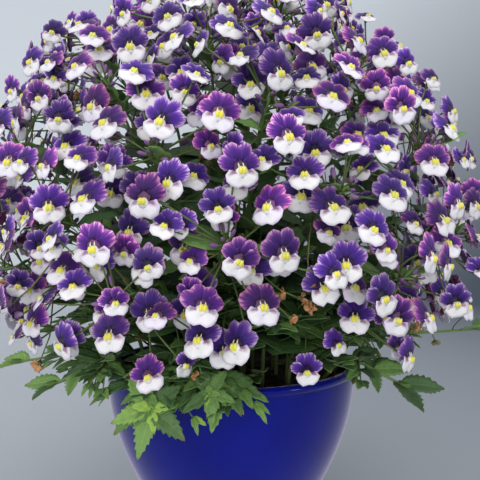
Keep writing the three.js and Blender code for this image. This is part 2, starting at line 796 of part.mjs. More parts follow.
// Opposite leaves in pairs along a shoot's outer half, the last pair pointing forward
function layOutShootLeaves(shoot, index, room) {
  const random = makeRandom(SHOOT_SEED + index);
  const [before, end] = shoot.points.slice(-2);
  const along = end.clone().sub(before).normalize();
  for (let pair = 0; pair < shoot.pairs; pair += 1) {
    const share = between(...SHOOT_LEAF_PLACES, pair / (shoot.pairs - 1));
    const tipForward = pair === shoot.pairs - 1 ? SHOOT_TIP_FORWARD : 0;
    [-1, 1].forEach((hand) => {
      const root = pointOnStem(shoot, share + hand * PAIR_SHIFT);
      growLeaf(shoot, (attempt) => {
        const forward = between(...SHOOT_LEAF_FORWARD, random()) + tipForward;
        const lift = between(...SHOOT_LEAF_LIFT, random()) + SHOOT_LIFT_STEP * attempt;
        const heading = along.clone().multiplyScalar(forward)
          .addScaledVector(shoot.sideways, hand * SHOOT_LEAF_SIDEWAYS[pair % 2])
          .addScaledVector(UP, lift)
          .normalize();
        const length = between(...SHOOT_LEAF_LENGTH, random()) * (1 - SHOOT_LEAF_SHRINK * attempt);
        return makeLeaf(shoot.owner, root, heading, length, SHOOT_LEAF_DROOP * random());
      }, room);
    });
  }
}

function shootSolid(shoot) {
  const points = [shoot.foot, ...shoot.points];
  const radii = points.map((_, index) => (
    between(SHOOT_RADIUS, SHOOT_TIP_RADIUS, index / (points.length - 1))
  ));
  return tubeSolid(points, radii, shoot.sideways);
}

// Lay the plant out: stems first, then shoots, blooms and the leaves between them
const room = new Room();
const stems = Array.from({ length: STEM_COUNT }, (_, index) => layOutStem(index));
const shoots = SHOOTS.map(layOutShoot);
stems.forEach((stem) => stemRegions(stem, STEM_FOOT_RADIUS).forEach((region) => room.add(region)));
shoots.forEach((shoot) => stemRegions(shoot, SHOOT_RADIUS).forEach((region) => room.add(region)));
shoots.forEach((shoot, index) => layOutShootLeaves(shoot, index, room));
for (let index = 0; index < BLOOM_COUNT; index += 1) {
  layOutBloom(index, stems, room);
}
stems.slice(FIRST_LEAFY_STEM).forEach((stem, index) => layOutStemLeaves(stem, index, room));

// Scene graph
const plant = new THREE.Group();

function addMesh(name, geometry, finish) {
  const mesh = new THREE.Mesh(geometry, new THREE.MeshStandardMaterial(finish));
  mesh.name = name;
  plant.add(mesh);
}

function numbered(name, index) {
  return `${name}_${String(index + 1).padStart(2, '0')}`;
}

addMesh('pot', potGeometry(), GLAZE);
addMesh('soil', soilGeometry([...stems, ...shoots]), SOIL);
stems.forEach((stem, index) => {
  const grown = fuse([stemSolid(stem), ...stem.blooms.map(bloomSolid), ...stem.leaves.map(leafSolid)]);
  addMesh(numbered('flower_stem', index), geometryOf(grown), PETAL);
});
shoots.forEach((shoot, index) => {
  const grown = fuse([shootSolid(shoot), ...shoot.leaves.map(leafSolid)]);
  addMesh(numbered('leaf_shoot', index), geometryOf(grown), FOLIAGE);
});

export default plant;
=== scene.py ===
# %% [markdown]
# # A potted nemesia
# A nemesia is a bedding plant: thin upright stems from one pot, hundreds of small two-lipped blooms,
# toothed leaves in opposite pairs. The frame holds the plain solids at their real size, and this
# lesson grows the fine parts in the same places: petals, palates, veined leaves, glaze and soil.

# %% The fixed frame
import math
from itertools import product
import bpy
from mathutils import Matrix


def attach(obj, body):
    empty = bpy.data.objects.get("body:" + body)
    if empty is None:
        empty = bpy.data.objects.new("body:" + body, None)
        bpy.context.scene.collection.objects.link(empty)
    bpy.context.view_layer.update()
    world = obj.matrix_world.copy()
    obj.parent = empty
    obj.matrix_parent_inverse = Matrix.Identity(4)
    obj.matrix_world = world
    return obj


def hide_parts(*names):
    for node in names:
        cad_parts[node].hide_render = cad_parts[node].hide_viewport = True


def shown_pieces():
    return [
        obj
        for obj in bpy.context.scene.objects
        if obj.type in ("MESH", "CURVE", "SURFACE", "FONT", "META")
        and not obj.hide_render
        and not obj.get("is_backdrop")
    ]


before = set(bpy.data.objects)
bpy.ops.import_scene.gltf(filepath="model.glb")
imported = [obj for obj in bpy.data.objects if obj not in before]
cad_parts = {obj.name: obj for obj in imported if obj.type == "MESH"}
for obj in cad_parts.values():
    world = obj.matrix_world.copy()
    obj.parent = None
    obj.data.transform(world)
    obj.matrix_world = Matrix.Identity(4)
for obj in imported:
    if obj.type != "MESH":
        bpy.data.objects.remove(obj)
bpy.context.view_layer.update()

from types import SimpleNamespace

import bpy
import numpy as np
from mathutils import Vector

print("frame pieces:", len(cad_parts))

# %% [markdown]
# ## Repeatable chance
# A plant looks grown only where no two parts are alike, yet each run has to give the same plant. So
# every draw comes from a small seeded generator. Lengths are in millimetres until a mesh is made.

# %% Seeded draws and short helpers
MM = 0.001
MASK = 0xFFFFFFFF
UP = np.array([0.0, 0.0, 1.0])
DEGREE = math.pi / 180


def make_random(seed):
    state = seed

    def draw():
        nonlocal state
        state = (state + 0x6D2B79F5) & MASK
        mixed = ((state ^ (state >> 15)) * (state | 1)) & MASK
        mixed ^= (mixed + (((mixed ^ (mixed >> 7)) * (mixed | 61)) & MASK)) & MASK
        return (mixed ^ (mixed >> 14)) / 2**32

    return draw


def between(low, high, share):
    return low + (high - low) * share


def at_bearing(bearing, radius, height):
    return np.array([radius * math.cos(bearing), radius * math.sin(bearing), height])


def length_of(arrow):
    return math.sqrt(arrow @ arrow)


def unit(arrow):
    return arrow / length_of(arrow)


def cross(a, b):
    return np.array([a[1] * b[2] - a[2] * b[1], a[2] * b[0] - a[0] * b[2], a[0] * b[1] - a[1] * b[0]])


print("first draw from seed 1:", round(make_random(1)(), 3))

# %% [markdown]
# ## Where everything grows
# The crown is a rounded form with humps and hollows. Stems and blooms are spread over it by the golden
# angle, as sunflower seeds are, a little closer together in front. These are the same driving sizes
# and the same rules as the solids have, so that each petal lands on its own solid.

# %% Driving sizes of the plant
POT_HEIGHT, POT_BASE_RADIUS, POT_NECK_RADIUS = 112, 40, 86.2
POT_SIDE_POWER, POT_WALL, POT_FLOOR = 0.9, 4, 6
LIP_HEIGHT, LIP_OVERHANG = 4.6, 1.8
SOIL_TOP, SOIL_GAP, HOLE_DEPTH = 104.5, 0.3, 12
CROWN_CENTRE_HEIGHT, CROWN_WIDTH, CROWN_RISE, CROWN_DROP = 190, 166, 166, 100
CROWN_SQUARENESS, CROWN_LOWEST_ANGLE = 2.4, 109 * DEGREE
# A place that each hump or hollow lies towards, its size as a share, and its spread.
CROWN_SWELLS = [
    ((45, -60, 170), 0.06, 0.3),
    ((-135, -60, 125), 0.05, 0.3),
    ((-30, -60, 150), -0.07, 0.18),
    ((95, -60, 120), -0.1, 0.2),
]
GOLDEN_ANGLE = math.pi * (3 - math.sqrt(5))
FRONT_PULL, TOP_PULL = 0.42, 1.15
STEM_COUNT, STEM_FOOT_SPREAD, STEM_TIP_DEPTH = 42, 66, 11
STEM_TIP_LOWEST_ANGLE = 101 * DEGREE
STEM_FOOT_RADIUS, STEM_COLLAR, STEM_STEPS = 1.8, 3, 3
STEM_BEND_SPREAD, STEM_BEND_RISE, STEM_BEND_REACH, STEM_BEND_LOWEST = 1.12, 0.5, 0.22, 14


# %% The crown's form
def bearing_of(index):
    even = index * GOLDEN_ANGLE
    return even - FRONT_PULL * math.cos(even)


def crown_radius(direction):
    level = math.hypot(direction[0], direction[1]) / CROWN_WIDTH
    upright = abs(direction[2]) / (CROWN_RISE if direction[2] > 0 else CROWN_DROP)
    plain = (level**CROWN_SQUARENESS + upright**CROWN_SQUARENESS) ** (-1 / CROWN_SQUARENESS)
    swell = 0
    for place, size, spread in CROWN_SWELLS:
        cosine = direction @ place / math.sqrt((direction @ direction) * np.dot(place, place))
        swell += size * math.exp(-((math.acos(max(-1, min(1, cosine))) / spread) ** 2))
    return plain * (1 + swell)


def crown_point(direction, depth):
    point = direction * (crown_radius(direction) - depth)
    point[2] += CROWN_CENTRE_HEIGHT
    return point


def crown_height(point):
    return max(0, (point[2] - CROWN_CENTRE_HEIGHT) / CROWN_RISE)


def spread_direction(index, count, lowest_angle):
    height = 1 - (1 - math.cos(lowest_angle)) * ((index + 0.5) / count) ** TOP_PULL
    level = math.sqrt(1 - height * height)
    bearing = bearing_of(index)
    return np.array([level * math.cos(bearing), level * math.sin(bearing), height])


reaches = [round(crown_radius(way)) for way in (at_bearing(-math.pi / 2, 1, 0), UP)]
print("the crown's radius to the front and to the top:", reaches)

# %% [markdown]
# A stem leaves the soil upright and bends outward to the crown, so a quadratic curve with its middle
# point over the foot is enough. The solids follow it in three straight stretches.

# %% Stems
def on_curve(stem, t):
    collar, bend, tip = stem.curve
    return (1 - t) ** 2 * collar + 2 * (1 - t) * t * bend + t**2 * tip


def lay_out_stem(index):
    bearing = bearing_of(index)
    spread = STEM_FOOT_SPREAD * math.sqrt((index + 0.5) / STEM_COUNT)
    collar = at_bearing(bearing, spread, SOIL_TOP + STEM_COLLAR)
    tip = crown_point(spread_direction(index, STEM_COUNT, STEM_TIP_LOWEST_ANGLE), STEM_TIP_DEPTH)
    rise = STEM_BEND_RISE * (tip[2] - collar[2]) + STEM_BEND_REACH * math.hypot(tip[0], tip[1])
    bend = at_bearing(bearing, spread * STEM_BEND_SPREAD, collar[2] + max(STEM_BEND_LOWEST, rise))
    stem = SimpleNamespace(
        owner=index,
        foot=at_bearing(bearing, spread, SOIL_TOP - HOLE_DEPTH),
        curve=(collar, bend, tip),
        sideways=at_bearing(bearing + math.pi / 2, 1, 0),
        blooms=[],
        inner=[],
        leaves=[],
    )
    stem.points = [on_curve(stem, step / STEM_STEPS) for step in range(STEM_STEPS + 1)]
    return stem


def point_on(part, share):
    place = share * (len(part.points) - 1)
    step = min(len(part.points) - 2, math.floor(place))
    return part.points[step] + (part.points[step + 1] - part.points[step]) * (place - step)


# %% [markdown]
# ## Room between the parts
# Two blooms can't grow through each other. A bloom is stood for by a few flat round regions, and a
# grid of cells finds the neighbours of each one, so only those are compared.

# %% The room keeper
ROOM_CELL, ROOM_SPACING, MOST_REGIONS = 14, 2, 40000
NO_OWNER, BLOOM_OWNER, SHOOT_OWNER = -2, -1, 1000


class Room:
    def __init__(self):
        self.cells = {}
        self.points = np.zeros((MOST_REGIONS, 3))
        self.normals = np.zeros((MOST_REGIONS, 3))
        self.sizes = np.zeros((MOST_REGIONS, 3))
        self.count = 0

    def add(self, point, normal, radius, half, owner):
        key = tuple(math.floor(value / ROOM_CELL) for value in point)
        self.cells.setdefault(key, []).append(self.count)
        self.points[self.count] = point
        self.normals[self.count] = normal
        self.sizes[self.count] = radius, half, owner
        self.count += 1

    def is_clear(self, point, normal, radius, half, owner, margin):
        x, y, z = (math.floor(value / ROOM_CELL) for value in point)
        near = []
        for i, j, k in product((x - 1, x, x + 1), (y - 1, y, y + 1), (z - 1, z, z + 1)):
            near += self.cells.get((i, j, k), ())
        if not near:
            return True
        radii, halves, owners = self.sizes[near].T
        normals = self.normals[near]
        offsets = self.points[near] - point
        distances = np.sqrt((offsets**2).sum(1))
        lines = offsets / np.maximum(distances, 1e-9)[:, None]
        clear = owners == owner
        for directions in (lines, np.broadcast_to(normal, lines.shape), normals):
            own_lean = np.minimum(1, np.abs(directions @ normal))
            other_lean = np.minimum(1, np.abs((directions * normals).sum(1)))
            needed = half * own_lean + radius * np.sqrt(1 - own_lean**2) + margin
            needed += halves * other_lean + radii * np.sqrt(1 - other_lean**2)
            clear |= np.abs((offsets * directions).sum(1)) > needed
        return bool(clear.all())


def round_regions(start, end, radius, owner):
    steps = max(1, math.floor(length_of(end - start) / ROOM_SPACING + 0.5))
    places = [start + (end - start) * (step / steps) for step in range(steps + 1)]
    return [(place, UP, radius, radius, owner) for place in places]


# %% [markdown]
# ## Blooms on their stems
# Each bloom is proposed near its even place, turned a little to the light, and kept if it has room
# and if a stem can carry it on an easy pedicel. Otherwise it is proposed again, farther off.

# %% Sizes of blooms and pedicels
BLOOM_COUNT, BLOOM_ATTEMPTS, BLOOM_SEED = 326, 40, 45000
BLOOM_SHALLOWEST, BLOOM_DEPTH, BLOOM_DEPTH_POWER = 4, 36, 1.5
BLOOM_WANDER, BLOOM_WANDER_STEP, BLOOM_LOWEST, BLOOM_TOP_SIZE = 0.06, 0.005, 125, 0.8
BLOOM_LIGHT_PULL, BLOOM_TURN = 0.5, 0.72
BLOOM_LEVEL_PITCH, BLOOM_TOP_PITCH, BLOOM_PITCH_SPREAD, BLOOM_ROLL_SPREAD = 2, 8, 34, 34
BLOOM_MARGIN, BLOOM_HALF_DEPTH = 0.35, 2.1
OPEN_PATCH, OPEN_PATCH_RADIUS = np.array([26.0, -125.0, 150.0]), 27
# Right, up and forward of the bloom's centre, and the radius of each region.
BLOOM_REGIONS = [
    (-3.7, 6.2, -1.0, 3.9),
    (3.7, 6.2, -1.0, 3.9),
    (-5.9, 3.0, -1.1, 3.5),
    (5.9, 3.0, -1.1, 3.5),
    (-3.8, -4.8, 1.0, 4.0),
    (3.8, -4.8, 1.0, 4.0),
    (0, -5.4, 1.2, 3.6),
    (0, 0, 0, 4.1),
]
CALYX_DEPTH, PEDICEL_RADIUS, PEDICEL_SHORTEST, PEDICEL_LONGEST = 4.4, 0.75, 7, 50
PEDICEL_FREE_START, PEDICEL_MARGIN, ROOT_SPACING = 2.5, 0.3, 3
ROOT_LOWEST, ROOT_HIGHEST, ROOT_PLACES, ROOT_BACKWARD_LIMIT = 18, 48, 50, -0.35
EASY_FORWARD, EASY_UPWARD, FORWARD_WEIGHT, UPWARD_WEIGHT = 0.3, 0.35, 0.9, 0.7


# %% How a bloom faces
def outward_bearing(centre, turn, light_pull, draw):
    """Away from the crown's middle, give or take a turn, and a little to the light in front."""
    across = centre[0] / CROWN_WIDTH + between(-turn, turn, draw())
    ahead = centre[1] / CROWN_WIDTH + (between(-turn, turn, draw()) - light_pull)
    return math.atan2(ahead, across)


def turned_bloom(centre, bearing, pitch, roll, size, calyx_share=1):
    """A bloom's own axes, and its calyx behind it, where the pedicel ends."""
    facing = at_bearing(bearing, math.cos(pitch), math.sin(pitch))
    flat_right = unit(cross(UP, facing))
    right = flat_right * math.cos(roll) + cross(facing, flat_right) * math.sin(roll)
    return SimpleNamespace(
        centre=centre,
        right=right,
        up=cross(facing, right),
        facing=facing,
        size=size,
        calyx=centre - facing * CALYX_DEPTH * calyx_share,
    )


def top_size(centre):
    return between(1, BLOOM_TOP_SIZE, crown_height(centre) ** 2)


def on_bloom(bloom, across, upward, forward):
    return bloom.centre + bloom.size * (across * bloom.right + upward * bloom.up + forward * bloom.facing)


def propose_bloom(index, attempt, draw):
    place = spread_direction(index, BLOOM_COUNT, CROWN_LOWEST_ANGLE)
    wander = BLOOM_WANDER + BLOOM_WANDER_STEP * attempt
    place += [between(-wander, wander, draw()) for _ in range(3)]
    depth = BLOOM_SHALLOWEST + BLOOM_DEPTH * draw() ** BLOOM_DEPTH_POWER
    centre = crown_point(unit(place), depth)
    bearing = outward_bearing(centre, BLOOM_TURN, BLOOM_LIGHT_PULL, draw)
    lean = between(BLOOM_LEVEL_PITCH, BLOOM_TOP_PITCH, crown_height(centre) ** 2)
    pitch = (lean + BLOOM_PITCH_SPREAD * (draw() - 0.5)) * DEGREE
    roll = BLOOM_ROLL_SPREAD * (draw() - 0.5) * DEGREE
    return turned_bloom(centre, bearing, pitch, roll, top_size(centre))


# %% The easiest root on any stem
class Roots:
    """All places on the stems where a pedicel may start."""

    def __init__(self, stems):
        shares = [place / ROOT_PLACES for place in range(ROOT_LOWEST, ROOT_HIGHEST + 1)]
        self.points = np.array([point_on(stem, share) for stem in stems for share in shares])
        self.stems = np.repeat(np.arange(len(stems)), len(shares))
        self.taken = np.zeros(len(self.points), bool)

    def best(self, bloom):
        pedicels = bloom.calyx - self.points
        lengths = np.sqrt((pedicels**2).sum(1))
        forward = pedicels @ bloom.facing / lengths
        upward = pedicels[:, 2] / lengths
        turned = FORWARD_WEIGHT * np.maximum(0, EASY_FORWARD - forward)
        lowered = UPWARD_WEIGHT * np.maximum(0, EASY_UPWARD - upward)
        cost = lengths * (1 + turned + lowered)
        cost[(lengths < PEDICEL_SHORTEST) | (lengths > PEDICEL_LONGEST)] = math.inf
        cost[(forward < ROOT_BACKWARD_LIMIT) | self.taken] = math.inf
        best = int(np.argmin(cost))
        return None if cost[best] == math.inf else best

    def take(self, best):
        near = np.sqrt(((self.points - self.points[best]) ** 2).sum(1)) < ROOT_SPACING
        self.taken |= near & (self.stems == self.stems[best])


# %% Trying a bloom
def bloom_regions(bloom, half_depth):
    return [
        (on_bloom(bloom, *place), bloom.facing, bloom.size * radius, half_depth, BLOOM_OWNER)
        for *place, radius in BLOOM_REGIONS
    ]


def has_room(regions, room, margin):
    return all(room.is_clear(*region[:4], NO_OWNER, margin) for region in regions)


def try_bloom(bloom, stems, roots, room):
    if bloom.centre[2] < BLOOM_LOWEST or length_of(bloom.centre - OPEN_PATCH) < OPEN_PATCH_RADIUS:
        return False
    regions = bloom_regions(bloom, BLOOM_HALF_DEPTH)
    if not has_room(regions, room, BLOOM_MARGIN):
        return False
    best = roots.best(bloom)
    if best is None:
        return False
    root, owner = roots.points[best], int(roots.stems[best])
    start = root + (bloom.calyx - root) * (PEDICEL_FREE_START / length_of(bloom.calyx - root))
    pedicel = round_regions(start, bloom.calyx, PEDICEL_RADIUS, owner)
    if not all(room.is_clear(*region, PEDICEL_MARGIN) for region in pedicel):
        return False
    for region in regions + pedicel:
        room.add(*region)
    roots.take(best)
    bloom.root = root
    stems[owner].blooms.append(bloom)
    return True


def lay_out_bloom(index, stems, roots, room):
    draw = make_random(BLOOM_SEED + index)
    for attempt in range(BLOOM_ATTEMPTS):
        if try_bloom(propose_bloom(index, attempt, draw), stems, roots, room):
            return


# %% [markdown]
# ## Leaves and shoots
# Nemesia leaves stand in opposite pairs, lanceolate and toothed. Outer stems carry a pair half-way up,
# and leafy shoots lean over the rim all round. A leaf keeps clear of the pot, the blooms and the stems.

# %% Sizes of leaves and shoots
LEAF_THICKNESS, LEAF_FOLD, LEAF_LIGHT_PULL, LEAF_HANG, LEAF_SLIMNESS = 0.8, 0.28, 0.6, 0.5, 0.44
LEAF_SIDE = [(1.0, 0.36), (0.76, 0.47), (0.78, 0.64)]
LEAF_RIB, LEAF_HALF_DEPTH, LEAF_MARGIN, LEAF_POT_MARGIN, LEAF_EDGE_ON = 0.5, 1.3, 0.4, 1, 0.05
LEAF_ROUNDS = [(0.3, 1), (0.55, 1), (0.8, 0.75)]
LEAF_SEED, LEAF_ATTEMPTS, FIRST_LEAFY_STEM = 8100, 9, 24
STEM_LEAF_PLACE, STEM_LEAF_PLACE_SPREAD, STEM_LEAF_SHRINK = 0.52, 0.04, 0.04
STEM_LEAF_LENGTH, STEM_LEAF_CLIMB, STEM_LEAF_TURN, STEM_LEAF_DROOP = (20, 30), 45, 0.5, 5
SHOOT_RADIUS, SHOOT_FOOT_SPREAD, SHOOT_CREST, SHOOT_CREST_INSIDE, SHOOT_CREST_OUTSIDE = 1.7, 73, 122, 3, 8
SHOOT_EARLY_BEND, SHOOT_SEED, PAIR_SHIFT, SHOOT_LEAF_DROOP = 0.3, 8600, 0.018, 6
SHOOT_LEAF_PLACES, SHOOT_LEAF_LENGTH, SHOOT_LEAF_SHRINK = (0.6, 0.96), (18, 28), 0.03
SHOOT_LEAF_FORWARD, SHOOT_TIP_FORWARD = (0.35, 0.75), 0.7
SHOOT_LEAF_LIFT, SHOOT_LIFT_STEP, SHOOT_LEAF_SIDEWAYS = (-0.1, 0.45), 0.08, (1, 0.6)
# Bearing in degrees, reach and height of the tip, sideways bend, and number of leaf pairs.
SHOOTS = [
    (-113, 104, 106, -4, 4),
    (-94, 97, 117, 3, 2),
    (-143, 124, 110, -5, 3),
    (-167, 144, 116, 4, 3),
    (166, 136, 110, -6, 2),
    (137, 134, 116, 6, 2),
    (108, 140, 110, -5, 2),
    (79, 132, 118, 5, 2),
    (48, 140, 112, -5, 2),
    (19, 136, 114, 6, 2),
    (-12, 166, 138, -3, 3),
    (-38, 122, 110, 6, 3),
]


# %% Room beside the pot
def pot_side_radius(height):
    share = max(0, min(1, height / POT_HEIGHT))
    swell = math.sin((math.pi / 2) * share**POT_SIDE_POWER)
    return between(POT_BASE_RADIUS, POT_NECK_RADIUS, swell)


def clear_of_pot(point, margin):
    radius = math.hypot(point[0], point[1])
    if point[2] > POT_HEIGHT + margin:
        return True
    if radius < POT_NECK_RADIUS - POT_WALL - margin:
        return point[2] > SOIL_TOP + margin
    return radius > pot_side_radius(point[2]) + LIP_OVERHANG + margin


print("pot's radius at the foot and the neck:", pot_side_radius(0), pot_side_radius(POT_HEIGHT))


# %% A leaf's own frame
def along_axes(axis):
    """Three square axes, the last along the given one."""
    axis = unit(axis)
    helper = UP if abs(axis[2]) < 0.9 else np.array([1.0, 0, 0])
    right = unit(cross(helper, axis))
    return np.array([right, cross(axis, right), axis])


def turned_leaf(root, heading, facing, length, slimness, droop):
    """A leaf along its heading, with its upper side turned to `facing` as far as that allows."""
    normal = facing - heading * (facing @ heading)
    normal = unit(normal) if length_of(normal) > LEAF_EDGE_ON else along_axes(heading)[0]
    return SimpleNamespace(
        root=root,
        heading=heading,
        normal=normal,
        side=cross(heading, normal),
        length=length,
        half_width=length * slimness / 2,
        droop=droop,
    )


def make_leaf(root, heading, length, droop):
    facing = UP + LEAF_HANG * unit(np.array([root[0], root[1], 0.0]))
    facing[1] -= LEAF_LIGHT_PULL
    return turned_leaf(root, heading, facing, length, LEAF_SLIMNESS, droop)


def on_leaf(leaf, across, share, over):
    raised = over + LEAF_FOLD * abs(across) * leaf.half_width
    point = leaf.root + leaf.heading * (leaf.length * share) + leaf.side * (leaf.half_width * across)
    point = point + leaf.normal * raised
    point[2] -= leaf.droop * share * share
    return point


# %% Growing a leaf where it has room
def grow_leaf(part, propose, room):
    edge = [(0, LEAF_RIB), (0, 1), *LEAF_SIDE, *((-across, share) for across, share in LEAF_SIDE)]
    for attempt in range(LEAF_ATTEMPTS):
        leaf = propose(attempt)
        rounds = [(on_leaf(leaf, 0, share, 0), leaf.half_width * width) for share, width in LEAF_ROUNDS]
        regions = [(place, leaf.normal, radius, LEAF_HALF_DEPTH, part.owner) for place, radius in rounds]
        under = [on_leaf(leaf, across, share, -LEAF_THICKNESS) for across, share in edge]
        if not all(clear_of_pot(point, LEAF_POT_MARGIN) for point in under):
            continue
        if all(room.is_clear(*region, LEAF_MARGIN) for region in regions):
            for region in regions:
                room.add(*region)
            part.leaves.append(leaf)
            return


# %% Leaf pairs on stems
def lay_out_stem_leaves(stem, index, room):
    draw = make_random(LEAF_SEED + index)

    def propose_at(root, opposite):
        def propose(attempt):
            bearing = index + opposite + STEM_LEAF_TURN * attempt * (draw() - 0.5)
            climb = STEM_LEAF_CLIMB * draw() * DEGREE
            heading = at_bearing(bearing, math.cos(climb), math.sin(climb))
            length = between(*STEM_LEAF_LENGTH, draw()) * (1 - STEM_LEAF_SHRINK * attempt)
            return make_leaf(root, heading, length, STEM_LEAF_DROOP * draw())

        return propose

    for opposite in (0, math.pi):
        root = point_on(stem, STEM_LEAF_PLACE + STEM_LEAF_PLACE_SPREAD * draw())
        grow_leaf(stem, propose_at(root, opposite), room)


# %% Shoots
def lay_out_shoot(index, bearing, reach, tip, bend, pairs):
    angle = bearing * DEGREE
    sideways = at_bearing(angle + math.pi / 2, 1, 0)
    crest = max(SHOOT_CREST, (SHOOT_CREST + tip) / 2)
    over_rim = at_bearing(angle, POT_NECK_RADIUS + SHOOT_CREST_OUTSIDE, crest)
    points = [
        at_bearing(angle, SHOOT_FOOT_SPREAD, SOIL_TOP + STEM_COLLAR),
        at_bearing(angle, POT_NECK_RADIUS - SHOOT_CREST_INSIDE, crest - SHOOT_CREST_INSIDE),
        over_rim + sideways * (bend * SHOOT_EARLY_BEND),
        at_bearing(angle, reach, tip) + sideways * bend,
    ]
    foot = at_bearing(angle, SHOOT_FOOT_SPREAD, SOIL_TOP - HOLE_DEPTH)
    return SimpleNamespace(
        owner=SHOOT_OWNER + index, foot=foot, points=points, sideways=sideways, pairs=pairs, leaves=[]
    )


def lay_out_shoot_leaves(shoot, index, room):
    draw = make_random(SHOOT_SEED + index)
    along = unit(shoot.points[-1] - shoot.points[-2])

    def propose_at(root, hand, pair):
        tip_forward = SHOOT_TIP_FORWARD if pair == shoot.pairs - 1 else 0

        def propose(attempt):
            forward = between(*SHOOT_LEAF_FORWARD, draw()) + tip_forward
            lift = between(*SHOOT_LEAF_LIFT, draw()) + SHOOT_LIFT_STEP * attempt
            beside = shoot.sideways * (hand * SHOOT_LEAF_SIDEWAYS[pair % 2])
            heading = unit(along * forward + beside + UP * lift)
            length = between(*SHOOT_LEAF_LENGTH, draw()) * (1 - SHOOT_LEAF_SHRINK * attempt)
            return make_leaf(root, heading, length, SHOOT_LEAF_DROOP * draw())

        return propose

    for pair in range(shoot.pairs):
        share = between(*SHOOT_LEAF_PLACES, pair / (shoot.pairs - 1))
        for hand in (-1, 1):
            grow_leaf(shoot, propose_at(point_on(shoot, share + hand * PAIR_SHIFT), hand, pair), room)


# %% The plan of the plant
def lay_out_plant(room):
    stems = [lay_out_stem(index) for index in range(STEM_COUNT)]
    shoots = [lay_out_shoot(index, *row) for index, row in enumerate(SHOOTS)]
    for parts, radius in ((stems, STEM_FOOT_RADIUS), (shoots, SHOOT_RADIUS)):
        for part in parts:
            for start, end in zip(part.points, part.points[1:]):
                for region in round_regions(start, end, radius, part.owner):
                    room.add(*region)
    for index, shoot in enumerate(shoots):
        lay_out_shoot_leaves(shoot, index, room)
    roots = Roots(stems)
    for index in range(BLOOM_COUNT):
        lay_out_bloom(index, stems, roots, room)
    for index, stem in enumerate(stems[FIRST_LEAFY_STEM:]):
        lay_out_stem_leaves(stem, index, room)
    return stems, shoots


room = Room()
stems, shoots = lay_out_plant(room)
print("blooms:", sum(len(stem.blooms) for stem in stems))
print("leaves:", sum(len(part.leaves) for part in stems + shoots))

# %% [markdown]
# The solids carry as many blooms as a light model can. The real crown is fuller, so smaller and
# half-hidden blooms fill the gaps between them, and two more hang over the front rim. The others lie
# under the crown's surface. Their margin is below zero: real petals touch, so neighbours may too.

# %% Smaller blooms in the gaps
# Places, first seed, lowest angle, depth under the surface, and size.
GAP_FILLS = [
    (450, 90000, CROWN_LOWEST_ANGLE, (3, 26), (0.75, 1.0)),
    (175, 95000, 64 * DEGREE, (2, 22), (0.68, 0.85)),
]
INNER_ATTEMPTS, INNER_TURN, INNER_WANDER, INNER_LIGHT_PULL, INNER_DEPTH_POWER = 14, 0.9, 0.1, 0.3, 1.3
INNER_PITCH, INNER_ROLL = (-22, 34), (-26, 26)
INNER_MARGIN, INNER_HALF_DEPTH, INNER_LOWEST = -0.5, 1.7, 122
INNER_OPEN_PATCH, INNER_OPEN_RADIUS = np.array([34.0, -126.0, 160.0]), 34
# Place, bearing, roll and size of each bloom on the rim.
RIM_BLOOMS = [((40, -99, 125), -88, 4, 0.9), ((55, -101, 139), -62, 18, 0.75)]
RIM_PITCH = 0.1
print("places for smaller blooms:", sum(fill[0] for fill in GAP_FILLS) + len(RIM_BLOOMS))


# %% Proposing and keeping them
def propose_gap_bloom(index, fill, draw):
    places, _, lowest, depth, size = fill
    place = spread_direction(index, places, lowest)
    place += [between(-INNER_WANDER, INNER_WANDER, draw()) for _ in range(3)]
    centre = crown_point(unit(place), between(*depth, draw() ** INNER_DEPTH_POWER))
    bearing = outward_bearing(centre, INNER_TURN, INNER_LIGHT_PULL, draw)
    pitch, roll = between(*INNER_PITCH, draw()) * DEGREE, between(*INNER_ROLL, draw()) * DEGREE
    own_size = between(*size, draw()) * top_size(centre)
    return turned_bloom(centre, bearing, pitch, roll, own_size, own_size)


def fits_gap(bloom, roots):
    regions = bloom_regions(bloom, INNER_HALF_DEPTH)
    best = roots.best(bloom)
    if best is None or not has_room(regions, room, INNER_MARGIN):
        return False
    for region in regions:
        room.add(*region)
    bloom.root = roots.points[best]
    stems[int(roots.stems[best])].inner.append(bloom)
    return True


def where_none_grow(bloom):
    """Low down, and in one patch in front, the photograph shows leaves and shade."""
    too_low = bloom.centre[2] < INNER_LOWEST
    return too_low or length_of(bloom.centre - INNER_OPEN_PATCH) < INNER_OPEN_RADIUS


def fill_gaps():
    roots = Roots(stems)
    for place, bearing, roll, size in RIM_BLOOMS:
        centre = np.array(place, float)
        fits_gap(turned_bloom(centre, bearing * DEGREE, RIM_PITCH, roll * DEGREE, size, size), roots)
    for fill in GAP_FILLS:
        for index in range(fill[0]):
            draw = make_random(fill[1] + index)
            for _ in range(INNER_ATTEMPTS):
                bloom = propose_gap_bloom(index, fill, draw)
                if not where_none_grow(bloom) and fits_gap(bloom, roots):
                    break


fill_gaps()
print("smaller blooms in the gaps:", sum(len(stem.inner) for stem in stems))

# %% [markdown]
# ## Growing meshes
# Thousands of small parts would be slow as objects of their own. A template is made once, as points,
# faces and guides, and then stamped into one mesh for each stem. The guides ride on every point:
# `place` says where it lies on its petal or leaf, and `tone` holds that one part's own chance; on a
# leaf its brightness also carries painted shade.

# %% Templates
def template(points, faces, places, finish):
    return SimpleNamespace(
        points=np.array(points, float),
        faces=faces,
        places=np.array(places, float),
        finishes=[finish] * len(faces),
    )


def joined(parts):
    faces, finishes, count = [], [], 0
    for part in parts:
        faces += [tuple(corner + count for corner in face) for face in part.faces]
        finishes += part.finishes
        count += len(part.points)
    points, places = [part.points for part in parts], [part.places for part in parts]
    return SimpleNamespace(
        points=np.concatenate(points), faces=faces, places=np.concatenate(places), finishes=finishes
    )


# %% The mesh maker
def in_scene(name, data):
    made = bpy.data.objects.new(name, data)
    bpy.context.scene.collection.objects.link(made)
    return made


